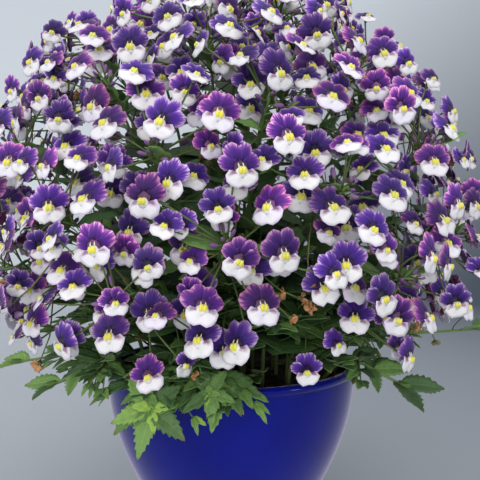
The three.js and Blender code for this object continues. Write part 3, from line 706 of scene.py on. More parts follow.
def new_mesh(name, points, faces):
    mesh = bpy.data.meshes.new(name)
    mesh.from_pydata((points * MM).tolist(), [], faces)
    mesh.shade_smooth()
    return mesh


class Growth:
    """Collects many small parts and turns them into one piece."""

    def __init__(self):
        self.parts, self.tones = [], []

    def add(self, part, tone, points=None):
        moved = part.points if points is None else points
        stamped = SimpleNamespace(points=moved, faces=part.faces, places=part.places, finishes=part.finishes)
        self.parts.append(stamped)
        self.tones.append(np.tile(np.array(tone, float), (len(moved), 1)))

    def piece(self, name, slot, *nodes):
        """One mesh of all parts, which takes the place of the plain solids of these nodes."""
        whole = joined(self.parts)
        mesh = new_mesh(name, whole.points, whole.faces)
        for guide, values in (("place", whole.places), ("tone", np.concatenate(self.tones))):
            mesh.attributes.new(guide, "FLOAT_VECTOR", "POINT").data.foreach_set("vector", values.ravel())
        used = sorted(set(whole.finishes))
        for finish in used:
            mesh.materials.append(finishes[finish])
        slots = np.array([used.index(finish) for finish in whole.finishes], np.int32)
        mesh.polygons.foreach_set("material_index", slots)
        mesh.validate()
        made = in_scene(name, mesh)
        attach(made, "root")
        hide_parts(*nodes)
        return made


# %% [markdown]
# A petal is a thin sheet with two sides and an edge, never a single layer: light then shades both
# sides rightly and the mesh has real thickness. The same function closes petals, lips and leaves.

# %% Closed sheets
def sheet_points(right, up, forward):
    """A grid of points from three grids, where one row or column may stand for all."""
    return np.stack(np.broadcast_arrays(right, up, forward), -1)


def closed_sheet(front, back, places, finish):
    rows, columns = front.shape[:2]
    count = rows * columns
    numbers = np.arange(count).reshape(rows, columns)
    once_round = numbers[0], numbers[1:, -1], numbers[-1, -2::-1], numbers[-2:0:-1, 0]
    rim = np.concatenate(once_round).tolist()
    faces = []
    for row in range(rows - 1):
        for column in range(columns - 1):
            low = row * columns + column
            quad = (low, low + 1, low + columns + 1, low + columns)
            faces += [quad, tuple(count + corner for corner in reversed(quad))]
    for corner, following in zip(rim, rim[1:] + rim[:1]):
        faces.append((corner, count + corner, count + following, following))
    other_side = places.reshape(-1, 3).copy()
    other_side[:, 2] = 1
    points = np.concatenate([front.reshape(-1, 3), back.reshape(-1, 3)])
    return template(points, faces, np.concatenate([places.reshape(-1, 3), other_side]), finish)


# %% [markdown]
# Stems and stalks are tubes: a ring of points at every step of a curve, square to the way it runs.
# Buds, capsules and bumps are balls, pressed to an ellipsoid. Both share the faces between rings.

# %% Tubes
def ring_faces(rings, sides, first=0):
    """Four-sided faces between rings of points, from the point number `first` on."""
    faces = []
    for ring in range(rings - 1):
        for side in range(sides):
            low, next_low = first + ring * sides + side, first + ring * sides + (side + 1) % sides
            faces.append((low, next_low, next_low + sides, low + sides))
    return faces


def capped_rings(rings, sides):
    last = (rings - 1) * sides
    return ring_faces(rings, sides) + [tuple(range(sides - 1, -1, -1)), tuple(range(last, last + sides))]


def tube(points, radii, sides, finish, upright=UP):
    points = np.array(points, float)
    rings, places = [], []
    for index, point in enumerate(points):
        along = unit(points[min(index + 1, len(points) - 1)] - points[max(index - 1, 0)])
        across = upright - along * (upright @ along)
        if length_of(across) < 0.2:
            across = np.array([1.0, 0.3, 0]) - along * (along[0] + 0.3 * along[1])
        across = unit(across)
        over = cross(along, across)
        for side in range(sides):
            angle = 2 * math.pi * side / sides
            rings.append(point + radii[index] * (across * math.cos(angle) + over * math.sin(angle)))
            places.append((side / sides, index / (len(points) - 1), 0))
    return template(rings, capped_rings(len(points), sides), places, finish)


# %% Round bodies
def round_body(centre, radii, sides, rings, finish):
    """An ellipsoid whose poles lie along its own up direction."""
    points, places = [(0, 0, -1)], [(0, 0, 0)]
    for ring in range(1, rings):
        angle = math.pi * ring / rings
        for side in range(sides):
            turn = 2 * math.pi * side / sides
            level = math.sin(angle)
            points.append((level * math.cos(turn), level * math.sin(turn), -math.cos(angle)))
            places.append((side / sides, ring / rings, 0))
    points.append((0, 0, 1))
    places.append((0, 1, 0))
    top = len(points) - 1
    last = top - sides
    faces = [(0, 1 + (side + 1) % sides, 1 + side) for side in range(sides)]
    faces += ring_faces(rings - 1, sides, 1)
    faces += [(last + side, last + (side + 1) % sides, top) for side in range(sides)]
    return template(np.array(points) * radii + centre, faces, places, finish)


print("faces of a ball of 6 sides and 4 rings:", len(round_body((0, 0, 0), (1, 1, 1), 6, 4, "").faces))

# %% [markdown]
# ## The bloom
# A nemesia bloom has two lips. The upper one is a fan of four rounded violet lobes, the lower one a
# broad white lip with a notch, and between them the palate rises in two yellow bumps. Behind it the
# lobes run into a short tube with a spur. A few variants, each with its own ruffles, are enough.

# %% The lobes of the upper lip
FINE_LOBE, PLAIN_LOBE = (5, 6), (4, 5)
# Angle, length, half width and layer of each lobe, from the left.
LOBES = [(-66, 9.7, 3.75, 0.3), (-21, 10.6, 3.7, 0), (21, 10.6, 3.7, 0.16), (66, 9.7, 3.75, 0.42)]
LOBE_ROUND = 100 * DEGREE
LOBE_WAVES, LOBE_FOLD, LOBE_TURN = (1.2, 2.2), (-0.5, 0.7), (-5, 5)
LOBE_LENGTH_SPREAD, LOBE_WIDTH_SPREAD = (0.93, 1.04), (0.92, 1.06)
LOBE_SCALLOP, LOBE_RUFFLE, LOBE_BELLY, LOBE_EDGE_BACK = 0.03, 0.42, 0.45, -2.2
LOBE_NECK_REACH, LOBE_NECK_WIDTH, LOBE_OVAL = 0.12, 0.3, 0.6
THROAT = np.array([0, 0.3, 0.2])
PETAL_THICKNESS = 0.24
ROW_CROWDING = 0.85


def lobe(angle, length, width, layer, grid, openness, draw):
    across = np.linspace(-1, 1, grid[1])[None, :]
    along = np.linspace(0, 1, grid[0])[:, None] ** ROW_CROWDING
    waves, phase, fold = between(*LOBE_WAVES, draw()), 2 * math.pi * draw(), between(*LOBE_FOLD, draw())
    length, width = length * between(*LOBE_LENGTH_SPREAD, draw()), width * between(*LOBE_WIDTH_SPREAD, draw())
    round_tip = across * LOBE_ROUND
    scallop = 1 + LOBE_SCALLOP * np.cos(2 * math.pi * waves * across + phase)
    oval = LOBE_OVAL + (1 - LOBE_OVAL) * np.cos(round_tip)
    reach = (1 - along) * LOBE_NECK_REACH * length + along * scallop * length * oval
    side = (1 - along) * LOBE_NECK_WIDTH * width * across + along * scallop * width * np.sin(round_tip)
    ruffle = LOBE_RUFFLE * along**2 * np.sin(math.pi * waves * across + phase) * np.abs(across) ** 0.5
    leaning = (LOBE_EDGE_BACK + openness) * along**1.5
    forward = THROAT[2] + layer + leaning + LOBE_BELLY * np.sin(math.pi * along)
    forward = forward + fold * across**2 * along + ruffle
    turn = (angle + between(*LOBE_TURN, draw())) * DEGREE
    right = side * math.cos(turn) + reach * math.sin(turn)
    up = THROAT[1] + reach * math.cos(turn) - side * math.sin(turn)
    front = sheet_points(right, up, forward)
    back = front - np.array([0, 0, PETAL_THICKNESS])
    return closed_sheet(front, back, sheet_points(across, along, 0.0), "violet_petal")


def upper_lip(grid, openness, draw):
    return joined([lobe(*row, grid, openness, draw) for row in LOBES])


print("points of a fine and a plain lobe:", 2 * math.prod(FINE_LOBE), 2 * math.prod(PLAIN_LOBE))

# %% [markdown]
# The lower lip is laid out by angles round the palate. An oval gives its reach, two swells make its
# lobes, a dip in the middle makes the notch, and a groove runs down between two domes.

# %% The white lower lip
FINE_LIP, PLAIN_LIP = (5, 11), (4, 9)
LIP_SPAN, LIP_WIDTH, LIP_DROP, LIP_INNER_EDGE = 105, 7.2, 6.3, 0.08
LIP_NOTCH, LIP_NOTCH_SPREAD = (0.7, 1.3), (8, 12)
LIP_LOBE, LIP_LOBE_ANGLE, LIP_LOBE_SPREAD, LIP_GROWTH = 0.45, (28, 40), (18, 26), 0.4
LIP_SHOULDER_ANGLE, LIP_SHOULDER_CUT, LIP_SHOULDER_BACK = 72, 0.27, 0.9
LIP_SCALLOP, LIP_SCALLOP_COUNT, LIP_RUFFLE, LIP_RUFFLE_COUNT = 0.035, (0.14, 0.22), 0.36, (4, 7)
LIP_DOME, LIP_DOME_ANGLE, LIP_DOME_SPREAD = 0.5, 42, 34
LIP_GROOVE, LIP_GROOVE_SPREAD, LIP_FORWARD, LIP_EDGE_BACK = -0.55, 11, 2.2, 0.3
LIP_THICKNESS = PETAL_THICKNESS * 1.3
PALATE_HEIGHT = -1.5


def lip(grid, openness, draw):
    angles = np.linspace(LIP_SPAN, -LIP_SPAN, grid[1])[None, :]
    along = np.linspace(LIP_INNER_EDGE, 1, grid[0])[:, None] ** ROW_CROWDING
    spread = np.abs(angles)
    notch = between(*LIP_NOTCH, draw()) * np.exp(-((spread / between(*LIP_NOTCH_SPREAD, draw())) ** 2))
    lobe_place = (spread - between(*LIP_LOBE_ANGLE, draw())) / between(*LIP_LOBE_SPREAD, draw())
    lobes = LIP_LOBE * np.exp(-(lobe_place**2))
    shoulder = np.clip((spread - LIP_SHOULDER_ANGLE) / (LIP_SPAN - LIP_SHOULDER_ANGLE), 0, 1)
    oval = 1 / np.hypot(np.sin(angles * DEGREE) / LIP_WIDTH, np.cos(angles * DEGREE) / LIP_DROP)
    reach = oval + LIP_GROWTH * draw() + lobes - notch
    reach = reach * (1 - LIP_SHOULDER_CUT * shoulder**2 * (3 - 2 * shoulder))
    reach = reach * (1 + LIP_SCALLOP * np.sin(angles * between(*LIP_SCALLOP_COUNT, draw()) + 6 * draw()))
    phase = 2 * math.pi * draw()
    dome = np.exp(-(((spread - LIP_DOME_ANGLE) / LIP_DOME_SPREAD) ** 2))
    dome = LIP_DOME * np.sin(math.pi * along) * dome
    groove = LIP_GROOVE * np.exp(-((angles / LIP_GROOVE_SPREAD) ** 2))
    groove = groove * np.sin(math.pi * np.minimum(1, along * 1.1))
    ruffle = LIP_RUFFLE * along**3 * np.sin(angles * DEGREE * between(*LIP_RUFFLE_COUNT, draw()) + phase)
    forward = LIP_FORWARD - (LIP_EDGE_BACK - openness) * along**2 - LIP_SHOULDER_BACK * shoulder * along
    right = np.sin(angles * DEGREE) * reach * along
    up = PALATE_HEIGHT - np.cos(angles * DEGREE) * reach * along
    front = sheet_points(right, up, forward + dome + groove + ruffle)
    back = front - np.array([0, 0, LIP_THICKNESS])
    return closed_sheet(front, back, sheet_points(angles / LIP_SPAN, along, 0.0), "white_lip")


print("points of a fine and a plain lip:", 2 * math.prod(FINE_LIP), 2 * math.prod(PLAIN_LIP))

# %% The palate's two yellow bumps, the white hood under them and two pale prongs
BUMP_CENTRE, BUMP_RADII = (0.74, -0.8, 2.6), (1.15, 1.9, 1.1)
HOOD_CENTRE, HOOD_RADII = (0, -1.5, 1.8), (2.9, 2.6, 1.25)
PRONG_POINTS, PRONG_RADII = [(0.8, 0.2, 1.6), (1.0, 1.3, 1.3), (0.9, 2.3, 0.7)], (0.42, 0.36, 0.14)


def on_hand(hand, place):
    return (hand * place[0], *place[1:])


def palate(sides, rings):
    centres = [on_hand(hand, BUMP_CENTRE) for hand in (-1, 1)]
    bumps = [round_body(centre, BUMP_RADII, sides, rings, "yellow_palate") for centre in centres]
    hood = round_body(HOOD_CENTRE, HOOD_RADII, sides + 1, rings, "white_lip")
    hood.places[:] = (0, 0.3, 0)
    return joined([*bumps, hood])


def prongs():
    lines = [[on_hand(hand, point) for point in PRONG_POINTS] for hand in (-1, 1)]
    return joined([tube(line, PRONG_RADII, 4, "pale_prong") for line in lines])


# %% The tube, the spur and the calyx behind
BLOOM_UP, BLOOM_RIGHT = np.array([0, 1.0, 0]), np.array([1.0, 0, 0])
SEPALS, SEPAL_BASE, SEPAL_HALF_WIDTH = 5, -4.7, 0.75
# How far out and how far ahead of its base a sepal's foot, middle and tip stand.
SEPAL_FOOT, SEPAL_MIDDLE, SEPAL_TIP = (0.4, 0), (1.7, 0.9), (2.9, 2.3)


def sepal(angle):
    def place(out, ahead, beside=0):
        return (
            out * math.cos(angle) - beside * math.sin(angle),
            out * math.sin(angle) + beside * math.cos(angle),
            SEPAL_BASE + ahead,
        )

    points = [
        place(*SEPAL_FOOT, -SEPAL_HALF_WIDTH),
        place(*SEPAL_FOOT, SEPAL_HALF_WIDTH),
        place(*SEPAL_MIDDLE),
        place(*SEPAL_TIP),
    ]
    faces = [(0, 2, 1), (0, 1, 3), (1, 2, 3), (2, 0, 3)]
    return template(points, faces, [(0, 0, 0), (0, 0, 0), (0, 0.5, 0), (0, 1, 0)], "green_stem")


def bloom_back(openness):
    throat_points = [(0, 0.2, 0.7), (0, 0.1, -1.6), (0, 0, -4.3)]
    throat = tube(throat_points, (3.1, 2.1, 1.0), 7, "mauve_tube", BLOOM_UP)
    spur_points = [(0, -1.0, -1.6), (0, -3.0, -3.0), (0, -4.7, -3.3 + openness)]
    spur = tube(spur_points, (1.1, 0.7, 0.3), 5, "mauve_tube", BLOOM_RIGHT)
    sepals = [sepal(2 * math.pi * (step + 0.25) / SEPALS) for step in range(SEPALS)]
    return joined([throat, spur, *sepals])


# %% Fine and plain variants of the whole bloom
BLOOM_VARIANTS, FINE_SEED, PLAIN_SEED = 8, 700, 800
FINE_OPENNESS, PLAIN_OPENNESS = (-0.35, 0.8), (-1.2, 2.4)


def open_bloom(seed, openness, lobe_grid, lip_grid, lip_share, bump_grid):
    """The two lips and the palate, opened by chance, and how far they opened."""
    draw = make_random(seed)
    openness = between(*openness, draw())
    lips = [upper_lip(lobe_grid, openness, draw), lip(lip_grid, openness * lip_share, draw)]
    return [*lips, palate(*bump_grid)], openness


def bloom_variant(number):
    parts, openness = open_bloom(FINE_SEED + number, FINE_OPENNESS, FINE_LOBE, FINE_LIP, 0.6, (6, 4))
    return joined([*parts, prongs(), bloom_back(openness * 0.5)])


def plain_bloom_variant(number):
    parts, _ = open_bloom(PLAIN_SEED + number, PLAIN_OPENNESS, PLAIN_LOBE, PLAIN_LIP, 0.5, (5, 3))
    return joined([*parts, tube([(0, 0.2, 0.7), (0, 0, -4.3)], (3.0, 0.9), 5, "mauve_tube", BLOOM_UP)])


def set_on_bloom(part, bloom):
    axes = np.array([bloom.right, bloom.up, bloom.facing])
    return bloom.centre + bloom.size * (part.points @ axes)


bloom_variants = [bloom_variant(number) for number in range(BLOOM_VARIANTS)]
plain_bloom_variants = [plain_bloom_variant(number) for number in range(BLOOM_VARIANTS)]
print("faces of a fine and a plain bloom:", len(bloom_variants[0].faces), len(plain_bloom_variants[0].faces))

# %% [markdown]
# ## The leaf
# A leaf is mapped from a flat grid: half widths across, shares of the length along. Every second row
# of the edge steps in, which makes the teeth, and the blade is folded along its rib and a bit wavy.

# %% Leaf templates and their placing
LEAF_BLADE, LEAF_TOOTH, BRACT_TOOTH = 0.4, 0.11, 0.05
LEAF_WAVE, LEAF_WAVE_TURNS, LEAF_PLEAT = 0.5, 1.5, 0.16
LEAF_FULLEST, LEAF_BLUNTNESS, LEAF_FOOT_WIDTH, LEAF_TIP_WIDTH = 0.75, 0.85, 0.1, 0.02
TOOTH_AHEAD, LEAF_LIFT_WIDTH = 0.25, 5


def leaf_grid(rows, columns, tooth, seed):
    """Half widths across, shares along and the lift of the blade, for every point of a grid."""
    draw = make_random(seed)
    share = np.linspace(0, 1, rows)[:, None]
    across = np.linspace(-1, 1, columns)[None, :]
    width = np.sin(math.pi * share**LEAF_FULLEST) ** LEAF_BLUNTNESS
    width[0], width[-1] = LEAF_FOOT_WIDTH, LEAF_TIP_WIDTH
    teeth = np.where(np.arange(rows) % 2 == 1, tooth, -tooth)[:, None] * np.sin(math.pi * share)
    phase = 2 * math.pi * draw()
    wave = LEAF_WAVE * np.sin(2 * math.pi * LEAF_WAVE_TURNS * share + phase)
    wave = wave * across * np.sin(math.pi * share)
    pleat = LEAF_PLEAT * np.cos(math.pi * (share * (rows - 1) - 2 * np.abs(across))) * (1 - across**2)
    edge = np.abs(across) ** 3
    outer = across * (width + teeth * edge)
    ahead = share + teeth * edge * TOOTH_AHEAD
    return np.broadcast_arrays(outer, ahead, wave + pleat * 0.6)


def leaf_part(leaf, grid):
    outer, ahead, lift = grid
    raised = LEAF_FOLD * np.abs(outer) * leaf.half_width + lift * (leaf.half_width / LEAF_LIFT_WIDTH)
    along, beside = leaf.length * ahead, leaf.half_width * outer
    front = leaf.root + leaf.heading * along[..., None] + leaf.side * beside[..., None]
    front = front + leaf.normal * raised[..., None] - UP * (leaf.droop * ahead * ahead)[..., None]
    back = front - leaf.normal * LEAF_BLADE
    places = sheet_points(np.linspace(-1, 1, outer.shape[1])[None, :], ahead, 0.0)
    return closed_sheet(front, back, places, "green_leaf")


LEAF_VARIANTS, BRACT_VARIANTS = 4, 3
fine_leaves = [leaf_grid(17, 5, LEAF_TOOTH, seed) for seed in range(LEAF_VARIANTS)]
plain_leaves = [leaf_grid(7, 5, LEAF_TOOTH, 10 + seed) for seed in range(LEAF_VARIANTS)]
bract_leaves = [leaf_grid(5, 3, BRACT_TOOTH, 20 + seed) for seed in range(BRACT_VARIANTS)]
kinds = (fine_leaves, plain_leaves, bract_leaves)
print("points of a fine leaf, a plain leaf and a bract:", [2 * grids[0][0].size for grids in kinds])


def one_of(templates, draw):
    return templates[int(len(templates) * draw())]


# %% [markdown]
# ## Stems, pedicels and what else grows on them
# Under the open blooms a raceme carries the small things: a narrow bract at each pedicel, green seed
# capsules low down, shut buds at the tip, and here and there a withered flower.

# %% Buds, capsules and withered flowers
WITHERED_SEED, WITHERED_PETALS, WITHERED_THICKNESS = 900, 5, 0.3
WITHERED_CURL, WITHERED_REACH, WITHERED_RISE = (0.6, 1.5), (2.2, 4.2), (2.5, 6.5)


def bud_template():
    shut = round_body((0, 0, 2.6), (1.35, 1.2, 2.7), 6, 5, "shut_bud")
    cup = round_body((0, 0, 0.4), (1.15, 1.05, 1.3), 5, 3, "green_stem")
    return joined([shut, cup])


def capsule_template():
    halves = [round_body((hand * 1.15, 0, 3.0), (1.5, 1.15, 2.9), 7, 5, "green_capsule") for hand in (-1, 1)]
    cup = round_body((0, 0, 0.4), (1.5, 1.3, 1.0), 5, 3, "green_stem")
    return joined([*halves, cup])


def withered_template(number):
    """Five crumpled petals that stand up from a round green base and curl over."""
    draw = make_random(WITHERED_SEED + number)
    rows, columns = np.linspace(0, 1, 4)[:, None], np.linspace(-1, 1, 4)[None, :]
    petals = []
    for step in range(WITHERED_PETALS):
        turn = 2 * math.pi * (step + draw()) / WITHERED_PETALS
        curl = between(*WITHERED_CURL, draw())
        out = 0.7 + between(*WITHERED_REACH, draw()) * rows**1.2 * (1 - 0.3 * columns**2)
        wide = columns * (0.8 + 1.6 * np.sin(math.pi * rows**0.8))
        height = 1.5 + between(*WITHERED_RISE, draw()) * rows - curl * 2.4 * rows**2
        height = height + 0.5 * np.sin(9 * columns + 7 * rows)
        right = out * math.cos(turn) - wide * math.sin(turn)
        up = out * math.sin(turn) + wide * math.cos(turn)
        front = sheet_points(right, up, height)
        back = front - np.array([0, 0, WITHERED_THICKNESS])
        petals.append(closed_sheet(front, back, sheet_points(columns, rows, 0.0), "withered_petal"))
    return joined([*petals, round_body((0, 0, 0.8), (1.3, 1.2, 1.7), 6, 4, "green_stem")])


bud = bud_template()
capsule = capsule_template()
withered = [withered_template(number) for number in range(3)]
kinds = (bud, capsule, withered[0])
print("faces of a bud, a capsule and a withered flower:", [len(kind.faces) for kind in kinds])


# %% Round stems and arching pedicels
STEM_ROUND_FOOT, STEM_ROUND_NECK, STEM_ROUND_TIP, STEM_POINTS = 1.35, 1.0, 0.55, 18
PEDICEL_FOOT, PEDICEL_NECK, PEDICEL_POINTS, PEDICEL_SIDES = 0.42, 0.5, 7, 5
PEDICEL_GROWING_PULL, PEDICEL_FACING_PULL, ARCH_PULL = 0.45, 0.8, 0.3


def arch(start, start_way, end, end_way, steps):
    """A smooth curve that leaves and arrives in the given directions."""
    pull = length_of(end - start) * ARCH_PULL
    first, second = start + start_way * pull, end - end_way * pull
    shares = np.linspace(0, 1, steps)[:, None]
    rest = 1 - shares
    return rest**3 * start + 3 * rest**2 * shares * first + 3 * rest * shares**2 * second + shares**3 * end


def growing_way(stem, t):
    return unit(on_curve(stem, t + 0.01) - on_curve(stem, t))


def round_stem(stem):
    shares = np.linspace(0, 1, STEM_POINTS)
    points = [stem.foot] + [on_curve(stem, share) for share in shares]
    radii = np.interp(shares, (0, 0.7, 1), (STEM_ROUND_FOOT, STEM_ROUND_NECK, STEM_ROUND_TIP))
    return tube(points, [STEM_ROUND_FOOT, *radii], 6, "green_stem", stem.sideways)


def pedicel(bloom, stem, steps=PEDICEL_POINTS, sides=PEDICEL_SIDES):
    """The stalk of a bloom, from the place on the round stem that is nearest to its planned root."""
    shares = np.linspace(0.2, 1, 60)
    places = np.array([on_curve(stem, share) for share in shares])
    nearest = int(np.argmin(((places - bloom.root) ** 2).sum(1)))
    start, growing = places[nearest], growing_way(stem, shares[nearest])
    straight = unit(bloom.calyx - start)
    start_way = unit(straight + growing * PEDICEL_GROWING_PULL)
    end_way = unit(straight + bloom.facing * PEDICEL_FACING_PULL)
    radii = np.linspace(PEDICEL_FOOT, PEDICEL_NECK, steps)
    points = arch(start, start_way, bloom.calyx, end_way, steps)
    return tube(points, radii, sides, "green_stem", stem.sideways), start, growing


# %% A narrow leaf of any size
SMALL_LEAF_HANG, SMALL_LEAF_LIGHT_PULL = 0.3, 0.4


def small_leaf(root, heading, length, slimness, droop, facing=None):
    if facing is None:
        outward = np.array([root[0], root[1], 0.0]) + 1e-3
        facing = UP + SMALL_LEAF_HANG * unit(outward) - np.array([0, SMALL_LEAF_LIGHT_PULL, 0])
    return turned_leaf(root, unit(heading), facing, length, slimness, droop)


def tone_of(draw, bright=0.5):
    """A part's own redness, its brightness, which on leaves also carries painted shade, and a seed for its
    pattern, each from 0 to 1.
    """
    return (draw(), min(1, max(0, bright + 0.5 * (draw() - 0.5))), draw())


def add_leaf(growth, leaf, templates, draw, bright):
    growth.add(leaf_part(leaf, one_of(templates, draw)), tone_of(draw, bright))


def add_stalk(growth, points, radii, draw):
    growth.add(tube(points, radii, 4, "green_stem"), tone_of(draw))


# %% Bracts at the pedicels
BRACT_LENGTH, BRACT_SLIMNESS = (6, 11), 0.3


def grow_bracts(growth, stem, draw):
    for bloom in stem.blooms:
        stalk, start, growing = pedicel(bloom, stem)
        growth.add(stalk, tone_of(draw))
        heading = unit(bloom.calyx - start) + growing * 0.8 + UP * 0.3
        leaf = small_leaf(start, heading, between(*BRACT_LENGTH, draw()), BRACT_SLIMNESS, 1)
        add_leaf(growth, leaf, bract_leaves, draw, 0.6)


# %% [markdown]
# The inside of the crown isn't empty on a real plant: short leaf pairs and side twigs stand on every
# stem. They also stop one from seeing through the crown, as in the photograph. Where the crown is
# open at the back, and low down inside, plain dark leaves do the same for fewer faces. Inside leaves
# get painted shade: they are darker, and darker still lower down.

# %% Leaf pairs on the stems, and dim leaves inside
NEXT_TURN = 2.4
STEM_PAIRS, STEM_PAIR_REACH, STEM_PAIR_LENGTH, STEM_PAIR_SHRINK = 6, (0.2, 0.97), (21, 34), (1.25, 0.6)
STEM_PAIR_SLIMNESS, STEM_PAIR_RISE, STEM_PAIR_DROOP = 0.54, (-0.1, 0.5), 5
DIM_LEAF_LENGTH, DIM_LEAF_SLIMNESS, DIM_LEAF_RISE, DIM_LEAF_DROOP = (24, 34), 0.56, (-0.3, 0.5), 4
DIM_LEAVES_AT_BACK, DIM_LEAVES_IN_FRONT, DIM_LEAF_REACH = 9, 3, (0.35, 0.95)
LOW_LEAVES_INSIDE, LOW_LEAVES_AT_PATCH, LOW_LEAF_REACH = 5, 3, (0.06, 0.3)
BACK_TIP_FROM, PATCH_FOOT_SPAN, PATCH_FOOT_AHEAD_OF = 10, (-10, 62), -15
FIRST_SKIRT_STEM = 21


def dim_leaves(stem):
    """How many plain dark leaves fill the inside, and between which shares of the stem."""
    at_the_back = on_curve(stem, 1)[1] > BACK_TIP_FROM
    beside_patch = PATCH_FOOT_SPAN[0] < stem.foot[0] < PATCH_FOOT_SPAN[1]
    behind_patch = beside_patch and stem.foot[1] < PATCH_FOOT_AHEAD_OF
    low = LOW_LEAVES_INSIDE if stem.owner < FIRST_SKIRT_STEM else LOW_LEAVES_AT_PATCH if behind_patch else 0
    high = DIM_LEAVES_AT_BACK if at_the_back else DIM_LEAVES_IN_FRONT
    return [(high, DIM_LEAF_REACH), (low, LOW_LEAF_REACH)]


def grow_pairs(growth, stem, draw):
    for pair in range(STEM_PAIRS):
        t = between(*STEM_PAIR_REACH, (pair + 0.6 * draw()) / STEM_PAIRS)
        start, growing = on_curve(stem, t), growing_way(stem, t)
        bearing = stem.owner + pair * math.pi / 2 + 0.5 * draw()
        for opposite in (0, math.pi):
            outward = at_bearing(bearing + opposite, 1, between(*STEM_PAIR_RISE, draw()))
            length = between(*STEM_PAIR_LENGTH, draw()) * (STEM_PAIR_SHRINK[0] - STEM_PAIR_SHRINK[1] * t)
            droop = STEM_PAIR_DROOP * draw()
            leaf = small_leaf(start, outward + growing * 0.5, length, STEM_PAIR_SLIMNESS, droop)
            # Painted shade: leaves lower on the stem are darker.
            add_leaf(growth, leaf, plain_leaves, draw, 0.25 + 0.35 * t)


def grow_dim_leaves(growth, stem, draw):
    for count, reach in dim_leaves(stem):
        for step in range(count):
            t = between(*reach, (step + draw()) / count)
            outward = at_bearing(stem.owner + NEXT_TURN * step, 1, between(*DIM_LEAF_RISE, draw()))
            length, droop = between(*DIM_LEAF_LENGTH, draw()), DIM_LEAF_DROOP * draw()
            leaf = small_leaf(on_curve(stem, t), outward, length, DIM_LEAF_SLIMNESS, droop)
            # Painted shade: these inner leaves are dark, and darker lower down.
            add_leaf(growth, leaf, bract_leaves, draw, 0.2 + 0.2 * t)


# %% Leafy twigs
TWIG_PAIR_STEP, TWIG_LEAVES, TWIG_POINTS, TWIG_RADII, TWIG_SAG = 10, (17, 27), 6, (0.75, 0.4), 0.12
TWIG_LEAF_REACH, TWIG_LEAF_SHRINK, TWIG_LEAF_SPREAD = (0.3, 1), (1, 0.55), (0.9, 0.35)
TWIG_LEAF_SLIMNESS, TWIG_LEAF_DROOP, TWIG_POT_MARGIN = 0.44, 5, 2
SKIRT_TWIGS, SKIRT_TWIG_LENGTH, SKIRT_REACH, SKIRT_TURN = 3, (28, 62), (0.02, 0.36), (-0.9, 0.9)
SKIRT_RISE, SKIRT_BRIGHTNESS = (0.02, 0.45), 0.3


def twig_leaf_side(sideways, hand, pair):
    """Every second pair lies flat beside the twig, and the others stand above and below it."""
    if pair % 2:
        return sideways * hand + UP * 0.15
    return sideways * (0.55 * hand) + UP * (0.5 if hand > 0 else -0.35)


def grow_twig(growth, start, heading, length, leaf_length, bright, draw):
    """A thin side shoot: leaf pairs that get smaller towards a tuft at its tip."""
    heading = unit(heading)
    end = start + heading * length - UP * (TWIG_SAG * length)
    points = arch(start, unit(heading + 0.5 * UP), end, unit(heading - 0.3 * UP), TWIG_POINTS)
    add_stalk(growth, points, np.linspace(*TWIG_RADII, TWIG_POINTS), draw)
    pairs = max(2, int(length / TWIG_PAIR_STEP))
    sideways = unit(cross(UP, heading))
    for pair in range(pairs + 1):
        share = between(*TWIG_LEAF_REACH, pair / pairs)
        place = points[min(TWIG_POINTS - 1, int(share * (TWIG_POINTS - 1)))]
        for hand in (-1, 1):
            beside = twig_leaf_side(sideways, hand, pair) * between(*TWIG_LEAF_SPREAD, share)
            way = beside + heading * between(0.4, 1.0, share * draw() + 0.3)
            size = between(*leaf_length, draw()) * between(*TWIG_LEAF_SHRINK, share**2)
            leaf = small_leaf(place, way, size, TWIG_LEAF_SLIMNESS, TWIG_LEAF_DROOP * draw())
            if clear_of_pot(leaf.root + leaf.heading * leaf.length, TWIG_POT_MARGIN):
                add_leaf(growth, leaf, plain_leaves, draw, bright + 0.15 * share)


def grow_skirt(growth, stem, draw):
    """Leafy twigs low on the outer stems, which hide the stems between the rim and the blooms."""
    for twig in range(SKIRT_TWIGS):
        start = on_curve(stem, between(*SKIRT_REACH, (twig + draw()) / SKIRT_TWIGS))
        outward = math.atan2(start[1], start[0]) + between(*SKIRT_TURN, draw())
        heading = at_bearing(outward, 1, between(*SKIRT_RISE, draw()))
        length = between(*SKIRT_TWIG_LENGTH, draw())
        # Painted shade: the skirt's leaves are dark, low under the crown.
        grow_twig(growth, start, heading, length, TWIG_LEAVES, SKIRT_BRIGHTNESS, draw)


# %% Withered flowers, where the photograph shows them and a few all round
WITHERED_IN_FRONT = [
    (23, -128, 166), (33, -123, 164), (28, -130, 156), (41, -121, 160), (45, -114, 167), (-98, -95, 129),
    (-17, -112, 127), (-14, -75, 240), (-30, -108, 221), (99, -90, 146), (-127, -75, 172), (-120, -60, 140),
]
WITHERED_ALL_ROUND, WITHERED_SIZE, WITHERED_DEPTH, WITHERED_PLACES_SEED = 14, (0.75, 1.05), (14, 30), 7300


def withered_places():
    draw = make_random(WITHERED_PLACES_SEED)
    places = [np.array(place, float) for place in WITHERED_IN_FRONT]
    for index in range(WITHERED_ALL_ROUND):
        direction = unit(at_bearing(NEXT_TURN * index + draw(), 1, between(-0.2, 0.9, draw())))
        places.append(crown_point(direction, between(*WITHERED_DEPTH, draw())))
    return places


def nearest_stem(place):
    shares = np.linspace(0.2, 0.95, 40)
    gaps = [[length_of(on_curve(stem, share) - place) for share in shares] for stem in stems]
    owner, step = np.unravel_index(np.argmin(gaps), (len(stems), len(shares)))
    return int(owner), shares[step]


withered_on_stems = {}
for place in withered_places():
    owner, share = nearest_stem(place)
    withered_on_stems.setdefault(owner, []).append((place, share))
print("withered flowers:", sum(len(found) for found in withered_on_stems.values()))


# %% Hanging small parts on stalks
STALK_POINTS, STALK_RADII = 5, (0.42, 0.4)


def stand_at(part, foot, axis, size, spin):
    axes = along_axes(axis)
    right = axes[0] * math.cos(spin) + axes[1] * math.sin(spin)
    return foot + size * (part.points @ np.array([right, cross(axes[2], right), axes[2]]))


